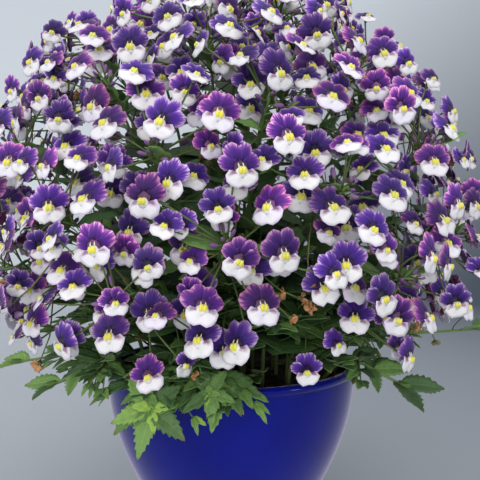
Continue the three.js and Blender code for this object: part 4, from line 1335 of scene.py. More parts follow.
def hang(growth, part, start, foot, axis, size, draw):
    """A small part on its own thin stalk."""
    stalk = arch(start, unit(UP + unit(foot - start)), foot, unit(axis), STALK_POINTS)
    add_stalk(growth, stalk, np.linspace(*STALK_RADII, STALK_POINTS), draw)
    growth.add(part, tone_of(draw), stand_at(part, foot, axis, size, 6 * draw()))


def grow_withered(growth, stem, draw):
    for place, share in withered_on_stems.get(stem.owner, []):
        start = on_curve(stem, share)
        axis = unit(unit(place - start) + 0.4 * UP + 0.3 * at_bearing(6 * draw(), 1, 0))
        hang(growth, one_of(withered, draw), start, place, axis, between(*WITHERED_SIZE, draw()), draw)


# %% Buds at the tips and capsules low down
BUDS_AT_TIP, BUD_REACH, BUD_SIZE, BUD_CLUSTER = 7, (3, 8), (0.45, 1), 9
BUD_STALK_RADII = (0.35, 0.35, 0.4)
CAPSULES, CAPSULE_PLACES, CAPSULE_REACH, CAPSULE_SIZE = 3, (0.3, 0.8), (6, 10), (0.7, 1)


def grow_buds(growth, stem, draw):
    tip, growing = on_curve(stem, 1), unit(on_curve(stem, 1) - on_curve(stem, 0.97))
    beside, above = along_axes(growing)[:2]
    for step in range(BUDS_AT_TIP):
        share = step / (BUDS_AT_TIP - 1)
        start = tip - growing * (BUD_CLUSTER * share)
        side = beside * math.cos(NEXT_TURN * step) + above * math.sin(NEXT_TURN * step)
        axis = unit(growing * (1.2 - share) + side * (0.2 + share))
        foot = start + axis * between(*BUD_REACH, share * draw())
        add_stalk(growth, [start, (start + foot) / 2, foot], BUD_STALK_RADII, draw)
        size = between(*BUD_SIZE, share)
        growth.add(bud, tone_of(draw), stand_at(bud, foot, axis + UP * 0.2, size, 6 * draw()))


def grow_capsules(growth, stem, draw):
    for step in range(CAPSULES):
        start = on_curve(stem, between(*CAPSULE_PLACES, (step + draw()) / CAPSULES))
        side = at_bearing(stem.owner * 2.1 + NEXT_TURN * step, 1, 0.9)
        foot = start + unit(side) * between(*CAPSULE_REACH, draw())
        hang(growth, capsule, start, foot, side + UP * 0.6, between(*CAPSULE_SIZE, draw()), draw)


# %% [markdown]
# ## Finishes
# A finish is a node tree. What several finishes need is built once as a node group, here fine grain,
# petal streaks, leaf veins and each part's own tone, and every material gives it its own values.

# %% Short ways to make nodes
def plug(tree, socket, value):
    """Links a socket to the value, or sets it where the value is a plain number or colour."""
    if isinstance(value, bpy.types.NodeSocket):
        tree.links.new(value, socket)
    else:
        socket.default_value = value


def node(tree, kind, wires=None, **settings):
    made = tree.nodes.new("ShaderNode" + kind)
    for name, value in settings.items():
        setattr(made, name, value)
    for name, value in (wires or {}).items():
        plug(tree, made.inputs[name], value)
    return made


def maths(tree, operation, *values):
    return node(tree, "Math", dict(enumerate(values)), operation=operation).outputs[0]


def mixed(tree, share, first, second, blend_type="MIX"):
    made = node(tree, "Mix", data_type="RGBA", blend_type=blend_type)
    for index, value in ((0, share), (6, first), (7, second)):
        plug(tree, made.inputs[index], value)
    return made.outputs[2]


def ramp(tree, value, stops, interpolation="EASE"):
    made = node(tree, "ValToRGB", {"Fac": value})
    made.color_ramp.interpolation = interpolation
    elements = made.color_ramp.elements
    while len(elements) < len(stops):
        elements.new(0.5)
    for element, (position, colour) in zip(elements, stops):
        element.position = position
        element.color = (*colour, 1)
    return made.outputs["Color"]


# %% Masks, shades and patterns
def mask(tree, value, low, high):
    """0 at `low`, 1 at `high`, a slope between them and flat beyond them."""
    made = node(tree, "MapRange", {"Value": value, "From Min": low, "From Max": high}, clamp=True)
    return made.outputs["Result"]


def graded(tree, value, start, span):
    """A value from 0 to 1 laid out over a span."""
    return maths(tree, "ADD", start, maths(tree, "MULTIPLY", value, span))


def shaken(tree, value, pattern, amount):
    """A value moved to and fro by a pattern that lies round one half."""
    off_centre = maths(tree, "SUBTRACT", pattern, 0.5)
    return maths(tree, "ADD", value, maths(tree, "MULTIPLY", off_centre, amount))


def noise(tree, where, scale, detail, roughness=0.5):
    wires = {"Vector": where, "Scale": scale, "Detail": detail, "Roughness": roughness}
    return node(tree, "TexNoise", wires).outputs[0]


def guide(tree, name):
    split = node(tree, "SeparateXYZ", {0: node(tree, "Attribute", attribute_name=name).outputs["Vector"]})
    return split.outputs[0], split.outputs[1], split.outputs[2]


def position(tree):
    return node(tree, "TexCoord").outputs["Object"]


# %% [markdown]
# A node group is built once and then placed in each material that needs it, with that material's own
# values in the order of the group's named inputs.

# %% Making and placing a node group
def new_group(name, inputs, outputs):
    group = bpy.data.node_groups.new(name, "ShaderNodeTree")
    for in_out, sockets in (("INPUT", inputs), ("OUTPUT", outputs)):
        for socket, kind in sockets.items():
            group.interface.new_socket(name=socket, in_out=in_out, socket_type="NodeSocket" + kind)
    entry = group.nodes.new("NodeGroupInput").outputs
    leave = group.nodes.new("NodeGroupOutput").inputs
    return group, entry, leave


def use_group(tree, name, *values):
    """Places a group and gives back its output, or a list of them where it has more than one."""
    made = tree.nodes.new("ShaderNodeGroup")
    made.node_tree = bpy.data.node_groups[name]
    for socket, value in zip(made.inputs, values):
        plug(tree, socket, value)
    return made.outputs[0] if len(made.outputs) == 1 else list(made.outputs)


# %% Fine grain, and petal streaks: noise drawn out along the petal, and soft patches
def grain_group():
    group, entry, leave = new_group("fine_grain", {"Scale": "Float"}, {"Grain": "Float"})
    plug(group, leave["Grain"], noise(group, position(group), entry["Scale"], 3.0, 0.6))


def streak_group():
    inputs = {"Across": "Float", "Along": "Float", "Seed": "Float", "Count": "Float"}
    group, entry, leave = new_group("petal_streaks", inputs, {"Streaks": "Float", "Patches": "Float"})
    fanned = maths(group, "MULTIPLY", entry["Across"], entry["Count"])
    far = maths(group, "MULTIPLY", entry["Seed"], 57.0)
    where = node(group, "CombineXYZ", {0: fanned, 1: maths(group, "MULTIPLY", entry["Along"], 1.3), 2: far})
    lines = noise(group, where.outputs[0], 1.0, 2.0, 0.55)
    plug(group, leave["Streaks"], mask(group, lines, 0.32, 0.68))
    patch_place = node(group, "CombineXYZ", {0: entry["Across"], 1: entry["Along"], 2: far})
    plug(group, leave["Patches"], noise(group, patch_place.outputs[0], 1.6, 1.0))


# %% Leaf veins: a rib in the middle and slanted pairs at its sides
def vein_group():
    inputs = {"Across": "Float", "Along": "Float", "Pairs": "Float"}
    group, entry, leave = new_group("leaf_veins", inputs, {"Veins": "Float"})
    side = maths(group, "ABSOLUTE", entry["Across"])
    rib = mask(group, side, 0.12, 0.02)
    slanted = maths(group, "SUBTRACT", entry["Along"], maths(group, "MULTIPLY", side, 0.16))
    turns = maths(group, "FRACT", maths(group, "MULTIPLY", slanted, entry["Pairs"]))
    near = maths(group, "ABSOLUTE", maths(group, "SUBTRACT", turns, 0.5))
    plug(group, leave["Veins"], maths(group, "MAXIMUM", rib, mask(group, near, 0.13, 0.02)))


# %% Each part's own tone: a shift to a warmer colour, and its brightness
def tone_group():
    inputs = {"Colour": "Color", "Warm": "Color", "Own": "Float", "Bright": "Float", "Spread": "Float"}
    group, entry, leave = new_group("own_tone", inputs, {"Colour": "Color"})
    warmer = mixed(group, entry["Own"], entry["Colour"], entry["Warm"])
    factor = shaken(group, 1.0, entry["Bright"], entry["Spread"])
    scaled = node(group, "VectorMath", {0: warmer}, operation="SCALE")
    plug(group, scaled.inputs["Scale"], factor)
    plug(group, leave["Colour"], scaled.outputs[0])


for build in (grain_group, streak_group, vein_group, tone_group):
    build()
print("node groups:", [group.name for group in bpy.data.node_groups])


# %% A material's shader
def new_finish(name, **steady):
    """A material with its steady values set on the shader's own sockets."""
    material = bpy.data.materials.new(name)
    material.use_nodes = True
    shader = material.node_tree.nodes["Principled BSDF"]
    for socket, value in steady.items():
        shader.inputs[socket.replace("_", " ")].default_value = value
    return material, material.node_tree


def wired(material, colour, roughness, height, strength, distance):
    """The last step of a finish: its colour, its roughness and its relief, in millimetres."""
    tree = material.node_tree
    shader = tree.nodes["Principled BSDF"].inputs
    plug(tree, shader["Base Color"], colour)
    plug(tree, shader["Roughness"], roughness)
    bump = node(tree, "Bump", {"Height": height, "Strength": strength, "Distance": distance * MM})
    plug(tree, shader["Normal"], bump.outputs["Normal"])
    return material


# %% [markdown]
# A violet lobe is violet in the middle and pale pink-lilac at its edge, with fine streaks that fan out;
# at the throat painted shade makes it almost black. Its back is a dull mauve. Some blooms are redder,
# some bluer.

# %% The violet lobes
# The darkest colours, at the throat, are painted shade; the violet and the pale edge are the petal's own
# colour.
VIOLET_FACE = [
    (0.0, (0.006, 0.002, 0.010)),
    (0.22, (0.014, 0.003, 0.044)),
    (0.42, (0.028, 0.007, 0.124)),
    (0.66, (0.046, 0.013, 0.166)),
    (0.83, (0.105, 0.040, 0.245)),
    (0.95, (0.285, 0.160, 0.385)),
    (1.0, (0.490, 0.340, 0.570)),
]
MAUVE_REAR = [(0.0, (0.17, 0.10, 0.17)), (0.5, (0.12, 0.055, 0.17)), (1.0, (0.22, 0.12, 0.28))]
REDDER = (1.5, 0.72, 0.85, 1)


def violet_petal():
    material, tree = new_finish(
        "violet_petal", Specular_IOR_Level=0.25, Sheen_Weight=0.04, Sheen_Roughness=0.5
    )
    across, along, backside = guide(tree, "place")
    own, bright, seed = guide(tree, "tone")
    streaks, patches = use_group(tree, "petal_streaks", across, along, seed, 10.0)
    rounder = maths(tree, "MULTIPLY", maths(tree, "POWER", maths(tree, "ABSOLUTE", across), 3.0), 0.16)
    reach = shaken(tree, maths(tree, "ADD", along, rounder), streaks, 0.27)
    colour = mixed(tree, backside, ramp(tree, reach, VIOLET_FACE), ramp(tree, along, MAUVE_REAR))
    redder = mixed(tree, 1.0, colour, REDDER, "MULTIPLY")
    toned = use_group(tree, "own_tone", colour, redder, own, bright, 0.9)
    return wired(material, toned, graded(tree, patches, 0.45, 0.25), streaks, 0.3, 0.25)


# %% [markdown]
# The lip is white, with painted shade that makes it a little dimmer at the throat. Some lips have a
# lilac flush, and each has a dark violet blotch at both shoulders, where it runs in under the upper lobes.

# %% The white lip
# The dimmer first colour, at the throat, is painted shade.
WHITE_FACE = [
    (0.0, (0.52, 0.48, 0.47)), (0.35, (0.645, 0.625, 0.63)), (0.8, (0.665, 0.645, 0.655)),
    (1.0, (0.62, 0.57, 0.65)),
]
LILAC_FLUSH, LIP_REAR = (0.62, 0.48, 0.80, 1), (0.62, 0.56, 0.68, 1)
SHOULDER_BLOTCH, FLUSH_SHARE, BLOTCH_SHARE = (0.150, 0.012, 0.110, 1), 0.55, 0.85


def white_lip():
    material, tree = new_finish("white_lip", Sheen_Weight=0.1)
    across, along, backside = guide(tree, "place")
    own, bright, seed = guide(tree, "tone")
    streaks, patches = use_group(tree, "petal_streaks", across, along, seed, 9.0)
    flush = maths(tree, "MULTIPLY", mask(tree, own, 0.45, 1.0), mask(tree, patches, 0.35, 0.75))
    flushed = maths(tree, "MULTIPLY", flush, FLUSH_SHARE)
    face = mixed(tree, flushed, ramp(tree, along, WHITE_FACE), LILAC_FLUSH)
    at_side = mask(tree, maths(tree, "ABSOLUTE", across), 0.66, 0.84)
    shoulder = maths(tree, "MULTIPLY", at_side, mask(tree, along, 0.98, 0.72))
    blotch = maths(tree, "MULTIPLY", shoulder, mask(tree, streaks, -0.5, 0.4))
    face = mixed(tree, maths(tree, "MULTIPLY", blotch, BLOTCH_SHARE), face, SHOULDER_BLOTCH)
    colour = mixed(tree, backside, face, LIP_REAR)
    toned = use_group(tree, "own_tone", colour, colour, 0.0, bright, 0.14)
    return wired(material, toned, graded(tree, patches, 0.5, 0.2), streaks, 0.25, 0.18)


# %% The yellow palate
YELLOW_FACE = [
    (0.0, (0.62, 0.62, 0.29)),
    (0.25, (0.64, 0.63, 0.10)),
    (0.9, (0.66, 0.59, 0.06)),
    (1.0, (0.60, 0.44, 0.03)),
]
ORANGE_SPECKLE = (0.78, 0.50, 0.03, 1)


def yellow_palate():
    material, tree = new_finish("yellow_palate", Sheen_Weight=0.3)
    _, along, _ = guide(tree, "place")
    own, bright, _ = guide(tree, "tone")
    grain = use_group(tree, "fine_grain", 1400.0)
    yellow = ramp(tree, along, YELLOW_FACE)
    speckled = mixed(tree, mask(tree, grain, 0.58, 0.85), yellow, ORANGE_SPECKLE)
    toned = use_group(tree, "own_tone", speckled, yellow, own, bright, 0.25)
    return wired(material, toned, graded(tree, grain, 0.4, 0.3), grain, 0.5, 0.15)


# %% [markdown]
# Stalks, buds, capsules and withered petals differ in their colours and grain alone. One function
# makes them all from a table: a colour along the part, fine grain and each part's own tone.

# %% Small soft parts
# Name, colours along the part, redder colour, grain scale, spread of brightness, relief.
SOFT_PARTS = [
    ("pale_prong", [(0, (0.45, 0.36, 0.30)), (1, (0.78, 0.72, 0.50))], (0.8, 0.7, 0.6), 900.0, 0.2, 0.1),
    # The mauve tube starts near-black at the throat's mouth and the spur's root, which is painted shade; the
    # mauve behind it is its own colour.
    ("mauve_tube", [(0.14, (0.018, 0.005, 0.034)), (0.34, (0.20, 0.10, 0.26)), (1, (0.40, 0.33, 0.34))],
     (0.30, 0.12, 0.26), 700.0, 0.6, 0.2),
    ("green_stem", [(0, (0.045, 0.075, 0.020)), (1, (0.095, 0.170, 0.040))],
     (0.10, 0.06, 0.03), 500.0, 0.7, 0.2),
    ("shut_bud", [(0, (0.20, 0.24, 0.12)), (0.5, (0.17, 0.07, 0.22)), (1, (0.09, 0.03, 0.17))],
     (0.30, 0.16, 0.30), 700.0, 0.8, 0.2),
    ("green_capsule", [(0, (0.09, 0.15, 0.03)), (1, (0.21, 0.26, 0.07))],
     (0.22, 0.12, 0.06), 400.0, 0.6, 0.4),
    ("withered_petal", [(0, (0.20, 0.085, 0.025)), (0.5, (0.47, 0.23, 0.07)), (1, (0.27, 0.12, 0.05))],
     (0.50, 0.28, 0.16), 600.0, 0.8, 0.6),
]


def soft_part(name, stops, warm, grain_scale, spread, bump):
    material, tree = new_finish(name)
    _, along, _ = guide(tree, "place")
    own, bright, _ = guide(tree, "tone")
    grain = use_group(tree, "fine_grain", grain_scale)
    colour = ramp(tree, shaken(tree, along, grain, 0.5), stops)
    half_own = maths(tree, "MULTIPLY", own, 0.5)
    toned = use_group(tree, "own_tone", colour, (*warm, 1), half_own, bright, spread)
    return wired(material, toned, graded(tree, grain, 0.42, 0.35), grain, 0.4, bump)


# %% [markdown]
# Leaves are darker and bluer inside the plant, which is painted shade, and yellow-green at young tips.
# Rib and side veins are paler and pressed in, and the blade between them swells a little.

# %% Leaves
# Each leaf's brightness picks its green: the dark end is painted shade for leaves inside the plant, the
# bright end the yellow-green of young tips.
LEAF_GREENS = [
    (0.0, (0.012, 0.026, 0.010)),
    (0.35, (0.044, 0.098, 0.029)),
    (0.7, (0.124, 0.240, 0.056)),
    (1.0, (0.260, 0.420, 0.065)),
]
PALER_VEIN, BROWN_TIP, PALE_REAR = (1.7, 1.35, 1.7, 1), (0.16, 0.10, 0.03, 1), (0.16, 0.24, 0.10, 1)


def green_leaf():
    material, tree = new_finish("green_leaf", Specular_IOR_Level=0.4)
    across, along, backside = guide(tree, "place")
    own, bright, _ = guide(tree, "tone")
    veins, grain = use_group(tree, "leaf_veins", across, along, 8.0), use_group(tree, "fine_grain", 420.0)
    blade = ramp(tree, shaken(tree, bright, grain, 0.3), LEAF_GREENS)
    paler = mixed(tree, 1.0, blade, PALER_VEIN, "MULTIPLY")
    face = mixed(tree, maths(tree, "MULTIPLY", veins, 0.55), blade, paler)
    towards_tip = maths(tree, "ADD", along, maths(tree, "MULTIPLY", own, 0.2))
    face = mixed(tree, mask(tree, towards_tip, 1.05, 1.2), face, BROWN_TIP)
    colour = mixed(tree, backside, face, mixed(tree, 0.5, blade, PALE_REAR))
    height = maths(tree, "SUBTRACT", maths(tree, "MULTIPLY", grain, 0.3), veins)
    return wired(material, colour, graded(tree, grain, 0.36, 0.3), height, 0.5, 0.35)


# %% [markdown]
# The glaze is deep cobalt under a thin clear coat, with a soft violet sheen where it is seen at a low
# angle. Painted shade darkens it in the groove under the lip, and a painted highlight pales the lip's top.

# %% The pot's glaze
COBALT = [(0.3, (0.001, 0.003, 0.145)), (0.7, (0.001, 0.005, 0.185))]
# The first two colours are a painted shade for the groove under the lip and a painted highlight for the top
# of the lip.
GROOVE_PAINTED_SHADE, LIP_TOP_PAINTED_HIGHLIGHT, VIOLET_SHEEN = (0.001, 0.003, 0.100, 1), (0.006, 0.014, 0.240, 1), (0.80, 0.45, 1.0, 1)
# Heights in metres between which each edge fades in or out.
GROOVE_FROM, GROOVE_TO, LIP_TOP_FROM = (0.1055, 0.1068), (0.1088, 0.1076), (0.1105, 0.1125)
CLOUD_SCALE, PEEL_SCALE, GROOVE_SHADE_SHARE, LIP_TOP_HIGHLIGHT_SHARE = 18.0, 160.0, 0.4, 0.6


def cobalt_glaze():
    material, tree = new_finish(
        "cobalt_glaze", Coat_Weight=0.2, Coat_Roughness=0.04, Sheen_Weight=0.3, Sheen_Roughness=0.28,
        Sheen_Tint=VIOLET_SHEEN, Specular_IOR_Level=0.12,
    )
    height = node(tree, "SeparateXYZ", {0: position(tree)}).outputs[2]
    cloud, peel = [use_group(tree, "fine_grain", scale) for scale in (CLOUD_SCALE, PEEL_SCALE)]
    above, below = mask(tree, height, *GROOVE_FROM), mask(tree, height, *GROOVE_TO)
    # Painted shade: the glaze is darker in the groove under the lip.
    groove = maths(tree, "MULTIPLY", maths(tree, "MULTIPLY", above, below), GROOVE_SHADE_SHARE)
    # Painted highlight: the glaze is paler on top of the lip.
    lip_top_highlight = maths(tree, "MULTIPLY", mask(tree, height, *LIP_TOP_FROM), LIP_TOP_HIGHLIGHT_SHARE)
    colour = mixed(tree, lip_top_highlight, mixed(tree, groove, ramp(tree, cloud, COBALT), GROOVE_PAINTED_SHADE), LIP_TOP_PAINTED_HIGHLIGHT)
    return wired(material, colour, graded(tree, cloud, 0.09, 0.10), peel, 0.05, 0.3)


# %% Soil and crumbs
def earth(name, dark, pale, scale):
    material, tree = new_finish(name, Specular_IOR_Level=0.25)
    coarse, fine = [use_group(tree, "fine_grain", scale * finer) for finer in (1, 6)]
    _, bright, _ = guide(tree, "tone")
    colour = ramp(tree, coarse, [(0.3, dark), (0.7, pale)])
    toned = use_group(tree, "own_tone", colour, colour, 0.0, bright, 1.2)
    return wired(material, toned, graded(tree, fine, 0.75, 0.25), graded(tree, fine, coarse, 0.5), 0.8, 1.2)


# %% All finishes by their names
made_finishes = [
    violet_petal(),
    white_lip(),
    yellow_palate(),
    *(soft_part(*row) for row in SOFT_PARTS),
    green_leaf(),
    cobalt_glaze(),
    earth("potting_soil", (0.006, 0.004, 0.003), (0.030, 0.019, 0.012), 260.0),
    earth("soil_crumb", (0.020, 0.012, 0.008), (0.110, 0.075, 0.050), 500.0),
]
finishes = {finish.name: finish for finish in made_finishes}
print("finishes:", len(finishes))

# %% [markdown]
# ## Growing the plant
# Petals and greens are pieces of their own on each stem, so that a scene can repaint either.

# %% Flowering stems
STEM_SEED, REDNESS_FROM, REDNESS_GROWTH = 4000, 0.45, 1.8
GAP_PEDICEL_POINTS, GAP_PEDICEL_SIDES = 5, 4


def bloom_tone(draw):
    """About half of the blooms turn redder, each by its own share."""
    red, light = draw(), draw()
    return (max(0, red - REDNESS_FROM) * REDNESS_GROWTH, light, draw())


def grow_bloom(petals, bloom, variants, draw):
    variant = one_of(variants, draw)
    petals.add(variant, bloom_tone(draw), set_on_bloom(variant, bloom))


def grow_blooms(petals, greens, stem, draw):
    for bloom in stem.blooms:
        grow_bloom(petals, bloom, bloom_variants, draw)
    for bloom in stem.inner:
        grow_bloom(petals, bloom, plain_bloom_variants, draw)
        greens.add(pedicel(bloom, stem, GAP_PEDICEL_POINTS, GAP_PEDICEL_SIDES)[0], tone_of(draw))


for stem in stems:
    draw = make_random(STEM_SEED + stem.owner)
    petals, greens = Growth(), Growth()
    grow_blooms(petals, greens, stem, draw)
    greens.add(round_stem(stem), (0.3, 0.4, 0.5))
    for leaf in stem.leaves:
        add_leaf(greens, leaf, fine_leaves, draw, 0.45)
    grow_bracts(greens, stem, draw)
    grow_pairs(greens, stem, draw)
    grow_dim_leaves(greens, stem, draw)
    if stem.owner >= FIRST_SKIRT_STEM:
        grow_skirt(greens, stem, draw)
    grow_buds(greens, stem, draw)
    grow_capsules(greens, stem, draw)
    grow_withered(greens, stem, draw)
    number = f"{stem.owner + 1:02d}"
    petals.piece(f"blooms_{number}", "flowers", f"flower_stem_{number}")
    greens.piece(f"stem_and_leaves_{number}", "foliage", f"flower_stem_{number}")
print("flowering stems grown:", len(stems))

# %% [markdown]
# The leafy shoots lean over the rim. In front two young tips are seen from their ends, as rosettes of
# bright leaves. The long shoot at the right trails, with a row of seed capsules on it.

# %% Rosettes over the front rim
# The shoot that each one grows from, its centre and its size.
ROSETTES = {0: ((-38, -105, 108), 0.9), 1: ((-9, -104, 115), 0.6)}
# Leaves in a ring, their length, slimness and brightness, and how far they lean forward.
ROSETTE_RINGS = [(5, (21, 28), 0.46, 0.56, 0.4), (5, (10, 14), 0.5, 0.72, 1.3), (4, (4, 7), 0.45, 0.86, 2.4)]
ROSETTE_SEED, ROSETTE_ROOT, ROSETTE_RING_TURN, ROSETTE_FINE_FROM = 5100, 0.6, 0.6, 13


def grow_rosette(growth, start, centre, size, draw):
    """A young tip seen from its end: rings of leaves that get smaller and brighter inwards."""
    ahead = unit(np.array([0.1 * draw() - 0.05, -1, 0.35]))
    stalk = arch(start, unit(centre - start + 4 * UP), centre - ahead * 5, ahead, 5)
    growth.add(tube([*stalk, centre], np.linspace(0.8, 0.6, 6), 5, "green_stem"), (0.2, 0.7, draw()))
    beside, above = along_axes(ahead)[:2]
    turn = 6 * draw()
    for count, lengths, slimness, bright, lean in ROSETTE_RINGS:
        turn += ROSETTE_RING_TURN
        for step in range(count):
            angle = turn + 2 * math.pi * (step + 0.3 * draw()) / count
            heading = beside * math.cos(angle) + above * math.sin(angle) + ahead * (0.12 + 0.3 * lean)
            length = between(*lengths, draw()) * size
            leaf = small_leaf(centre, heading, length, slimness, 3, ahead + 0.2 * UP)
            templates = fine_leaves if size * length > ROSETTE_FINE_FROM else plain_leaves
            add_leaf(growth, leaf, templates, draw, bright)


# %% Leafy shoots
SHOOT_GROWTH_SEED, SHOOT_ROUND_FOOT, SHOOT_ROUND_TIP, CORNER_CUT = 5000, 1.5, 0.8, 0.18
SHOOT_BRIGHTNESS = (0.58, 0.54, 0.46, 0.5, 0.45, 0.5, 0.45, 0.5, 0.45, 0.5, 0.46, 0.36)
SHOOT_TIP_BRIGHTER, TUFT_BRIGHTER, TWIG_DARKER = 0.14, 0.2, 0.1
TUFT_LEAVES, TUFT_DEPTH, TUFT_LEAF_LENGTH = 8, 6, (4, 9)
CAPSULES_ON_SHOOT = (0, 0, 1, 2, 1, 1, 2, 1, 2, 1, 9, 1)
SHOOT_CAPSULE_PLACES, SHOOT_CAPSULE_REACH, SHOOT_CAPSULE_SIZE = (0.42, 0.98), (10, 22), (1.0, 1.3)
# How far to one hand or the other each twig of a shoot turns.
SHOOT_TWIGS = [(-1, 1)] * 2 + [(-1, 1, 1.6, 2.2)] + [(-1, 1)] * 9
SHOOT_TWIG_PLACES, SHOOT_TWIG_FORWARD = (0.55, 0.75), (0.5, 1.1)
SHOOT_TWIG_LENGTH, SHOOT_TWIG_LEAVES = (20, 38), (14, 22)


# %% The parts of a shoot
def shoot_curve(shoot):
    """The straight stretches of a shoot with their corners cut round."""
    points = [shoot.foot, *shoot.points]
    smooth = [points[0], points[1]]
    for before, corner, after in zip(points[1:], points[2:], points[3:]):
        smooth.append(corner + (before - corner) * CORNER_CUT)
        smooth.append(corner + (before + after - 2 * corner) * (CORNER_CUT / 4))
        smooth.append(corner + (after - corner) * CORNER_CUT)
    return smooth + [points[-1]]


def grow_tuft(growth, shoot, along, bright, draw):
    """The tiny leaves at the tip of a shoot."""
    for step in range(TUFT_LEAVES):
        heading = along + 0.5 * at_bearing(NEXT_TURN * step, 1, 0.6)
        start = shoot.points[-1] - along * (TUFT_DEPTH * step / TUFT_LEAVES)
        leaf = small_leaf(start, heading, between(*TUFT_LEAF_LENGTH, step / TUFT_LEAVES), 0.4, 0)
        growth.add(leaf_part(leaf, bract_leaves[step % BRACT_VARIANTS]), (draw(), bright, draw()))


def grow_shoot_capsules(growth, shoot, along, count, draw):
    for step in range(count):
        start = point_on(shoot, between(*SHOOT_CAPSULE_PLACES, step / count))
        side = shoot.sideways * (1 if step % 2 else -1) + UP * (-0.6 if step % 3 == 1 else 0.9) + 0.4 * along
        foot = start + unit(side) * between(*SHOOT_CAPSULE_REACH, draw())
        hang(growth, capsule, start, foot, side, between(*SHOOT_CAPSULE_SIZE, draw()), draw)


# %% Growing every shoot
def grow_shoot(growth, shoot, index):
    draw = make_random(SHOOT_GROWTH_SEED + index)
    bright = SHOOT_BRIGHTNESS[index]
    points = shoot_curve(shoot)
    radii = np.linspace(SHOOT_ROUND_FOOT, SHOOT_ROUND_TIP, len(points))
    growth.add(tube(points, radii, 6, "green_stem", shoot.sideways), (0.2, 0.7, draw()))
    for step, leaf in enumerate(shoot.leaves):
        brighter = SHOOT_TIP_BRIGHTER * step / max(1, len(shoot.leaves) - 1)
        add_leaf(growth, leaf, fine_leaves, draw, bright + brighter)
    along = unit(shoot.points[-1] - shoot.points[-2])
    grow_tuft(growth, shoot, along, bright + TUFT_BRIGHTER, draw)
    grow_shoot_capsules(growth, shoot, along, CAPSULES_ON_SHOOT[index], draw)
    for hand in SHOOT_TWIGS[index]:
        heading = along * between(*SHOOT_TWIG_FORWARD, draw()) + shoot.sideways * hand + UP * 0.15
        start = point_on(shoot, between(*SHOOT_TWIG_PLACES, draw()))
        length = between(*SHOOT_TWIG_LENGTH, draw())
        grow_twig(growth, start, heading, length, SHOOT_TWIG_LEAVES, bright - TWIG_DARKER, draw)


for index, shoot in enumerate(shoots):
    growth = Growth()
    if index in ROSETTES:
        centre, size = ROSETTES[index]
        root = point_on(shoot, ROSETTE_ROOT)
        grow_rosette(growth, root, np.array(centre, float), size, make_random(ROSETTE_SEED + index))
    grow_shoot(growth, shoot, index)
    number = f"{index + 1:02d}"
    growth.piece(f"shoot_and_leaves_{number}", "foliage", f"leaf_shoot_{number}")
    print("shoot", number, "ends at", [round(float(value)) for value in shoot.points[-1]])

# %% [markdown]
# ## Pot and soil
# The pot is turned: one profile swept round, so a loop of rings makes it. The lip is a rolled bead
# with a groove under it, where painted shade darkens the glaze.

# %% A turned body
def turned(profile, sides, finish):
    points, places = [], []
    for index, (radius, height) in enumerate(profile):
        for side in range(sides):
            points.append(at_bearing(2 * math.pi * side / sides, radius, height))
            places.append((side / sides, index / (len(profile) - 1), 0))
    return template(points, capped_rings(len(profile), sides), places, finish)


def bead(centre_radius, centre_height, radius, start, end, steps):
    """Part of a circle in the profile, from one angle to another."""
    points = []
    for step in range(steps):
        angle = between(start, end, step / (steps - 1)) * DEGREE
        points.append((centre_radius + radius * math.cos(angle), centre_height + radius * math.sin(angle)))
    return points


def single_piece(part, name, slot, node_name):
    growth = Growth()
    growth.add(part, (0.5, 0.5, 0.5))
    return growth.piece(name, slot, node_name)


# %% The glazed pot
POT_SIDES, SIDE_STEPS, GROOVE = 104, 18, 0.7
LIP_BEAD = LIP_HEIGHT / 2


def pot_profile():
    neck = POT_HEIGHT - LIP_HEIGHT
    outer, inner = POT_NECK_RADIUS + LIP_OVERHANG, POT_NECK_RADIUS - POT_WALL
    foot = [(0.5, 1.2), (POT_BASE_RADIUS - 6, 1.2), (POT_BASE_RADIUS - 5, 0), (POT_BASE_RADIUS - 1.6, 0)]
    side = [(pot_side_radius(height), height) for height in np.linspace(1.2, neck - 3, SIDE_STEPS)]
    groove = [(POT_NECK_RADIUS - GROOVE * 0.6, neck - 1.4), (POT_NECK_RADIUS - GROOVE, neck - 0.3)]
    outer_lip = bead(outer - LIP_BEAD, neck + LIP_BEAD, LIP_BEAD, -70, 90, 10)
    inner_lip = bead(inner + LIP_BEAD * 0.8, POT_HEIGHT - LIP_BEAD * 0.8, LIP_BEAD * 0.8, 90, 180, 6)
    inside = [(pot_side_radius(height) - POT_WALL, height) for height in np.linspace(neck, POT_FLOOR, 12)]
    return foot + side + groove + outer_lip + inner_lip + inside + [(0.5, POT_FLOOR)]


pot_piece = single_piece(turned(pot_profile(), POT_SIDES, "cobalt_glaze"), "glazed_pot", "glaze", "pot")
print("pot points:", len(pot_piece.data.vertices))

# %% [markdown]
# Potting soil is dark, crumbly and never level. The top is a disc of rings pushed up and down by a
# few waves and by chance, and loose crumbs of bark and pale grit lie on it.

# %% The soil's surface
SOIL_RINGS, SOIL_SIDES, SOIL_SIDE_STEPS, SOIL_ROUGHNESS, SOIL_WAVE, SOIL_SEED = 22, 80, 8, 0.55, 0.9, 6100


def soil_height(x, y):
    waves = math.sin(x * 0.11 + 1.3) * math.cos(y * 0.13 - 0.4) + 0.6 * math.sin(x * 0.31 + y * 0.27)
    return SOIL_TOP - 0.7 + SOIL_WAVE * waves


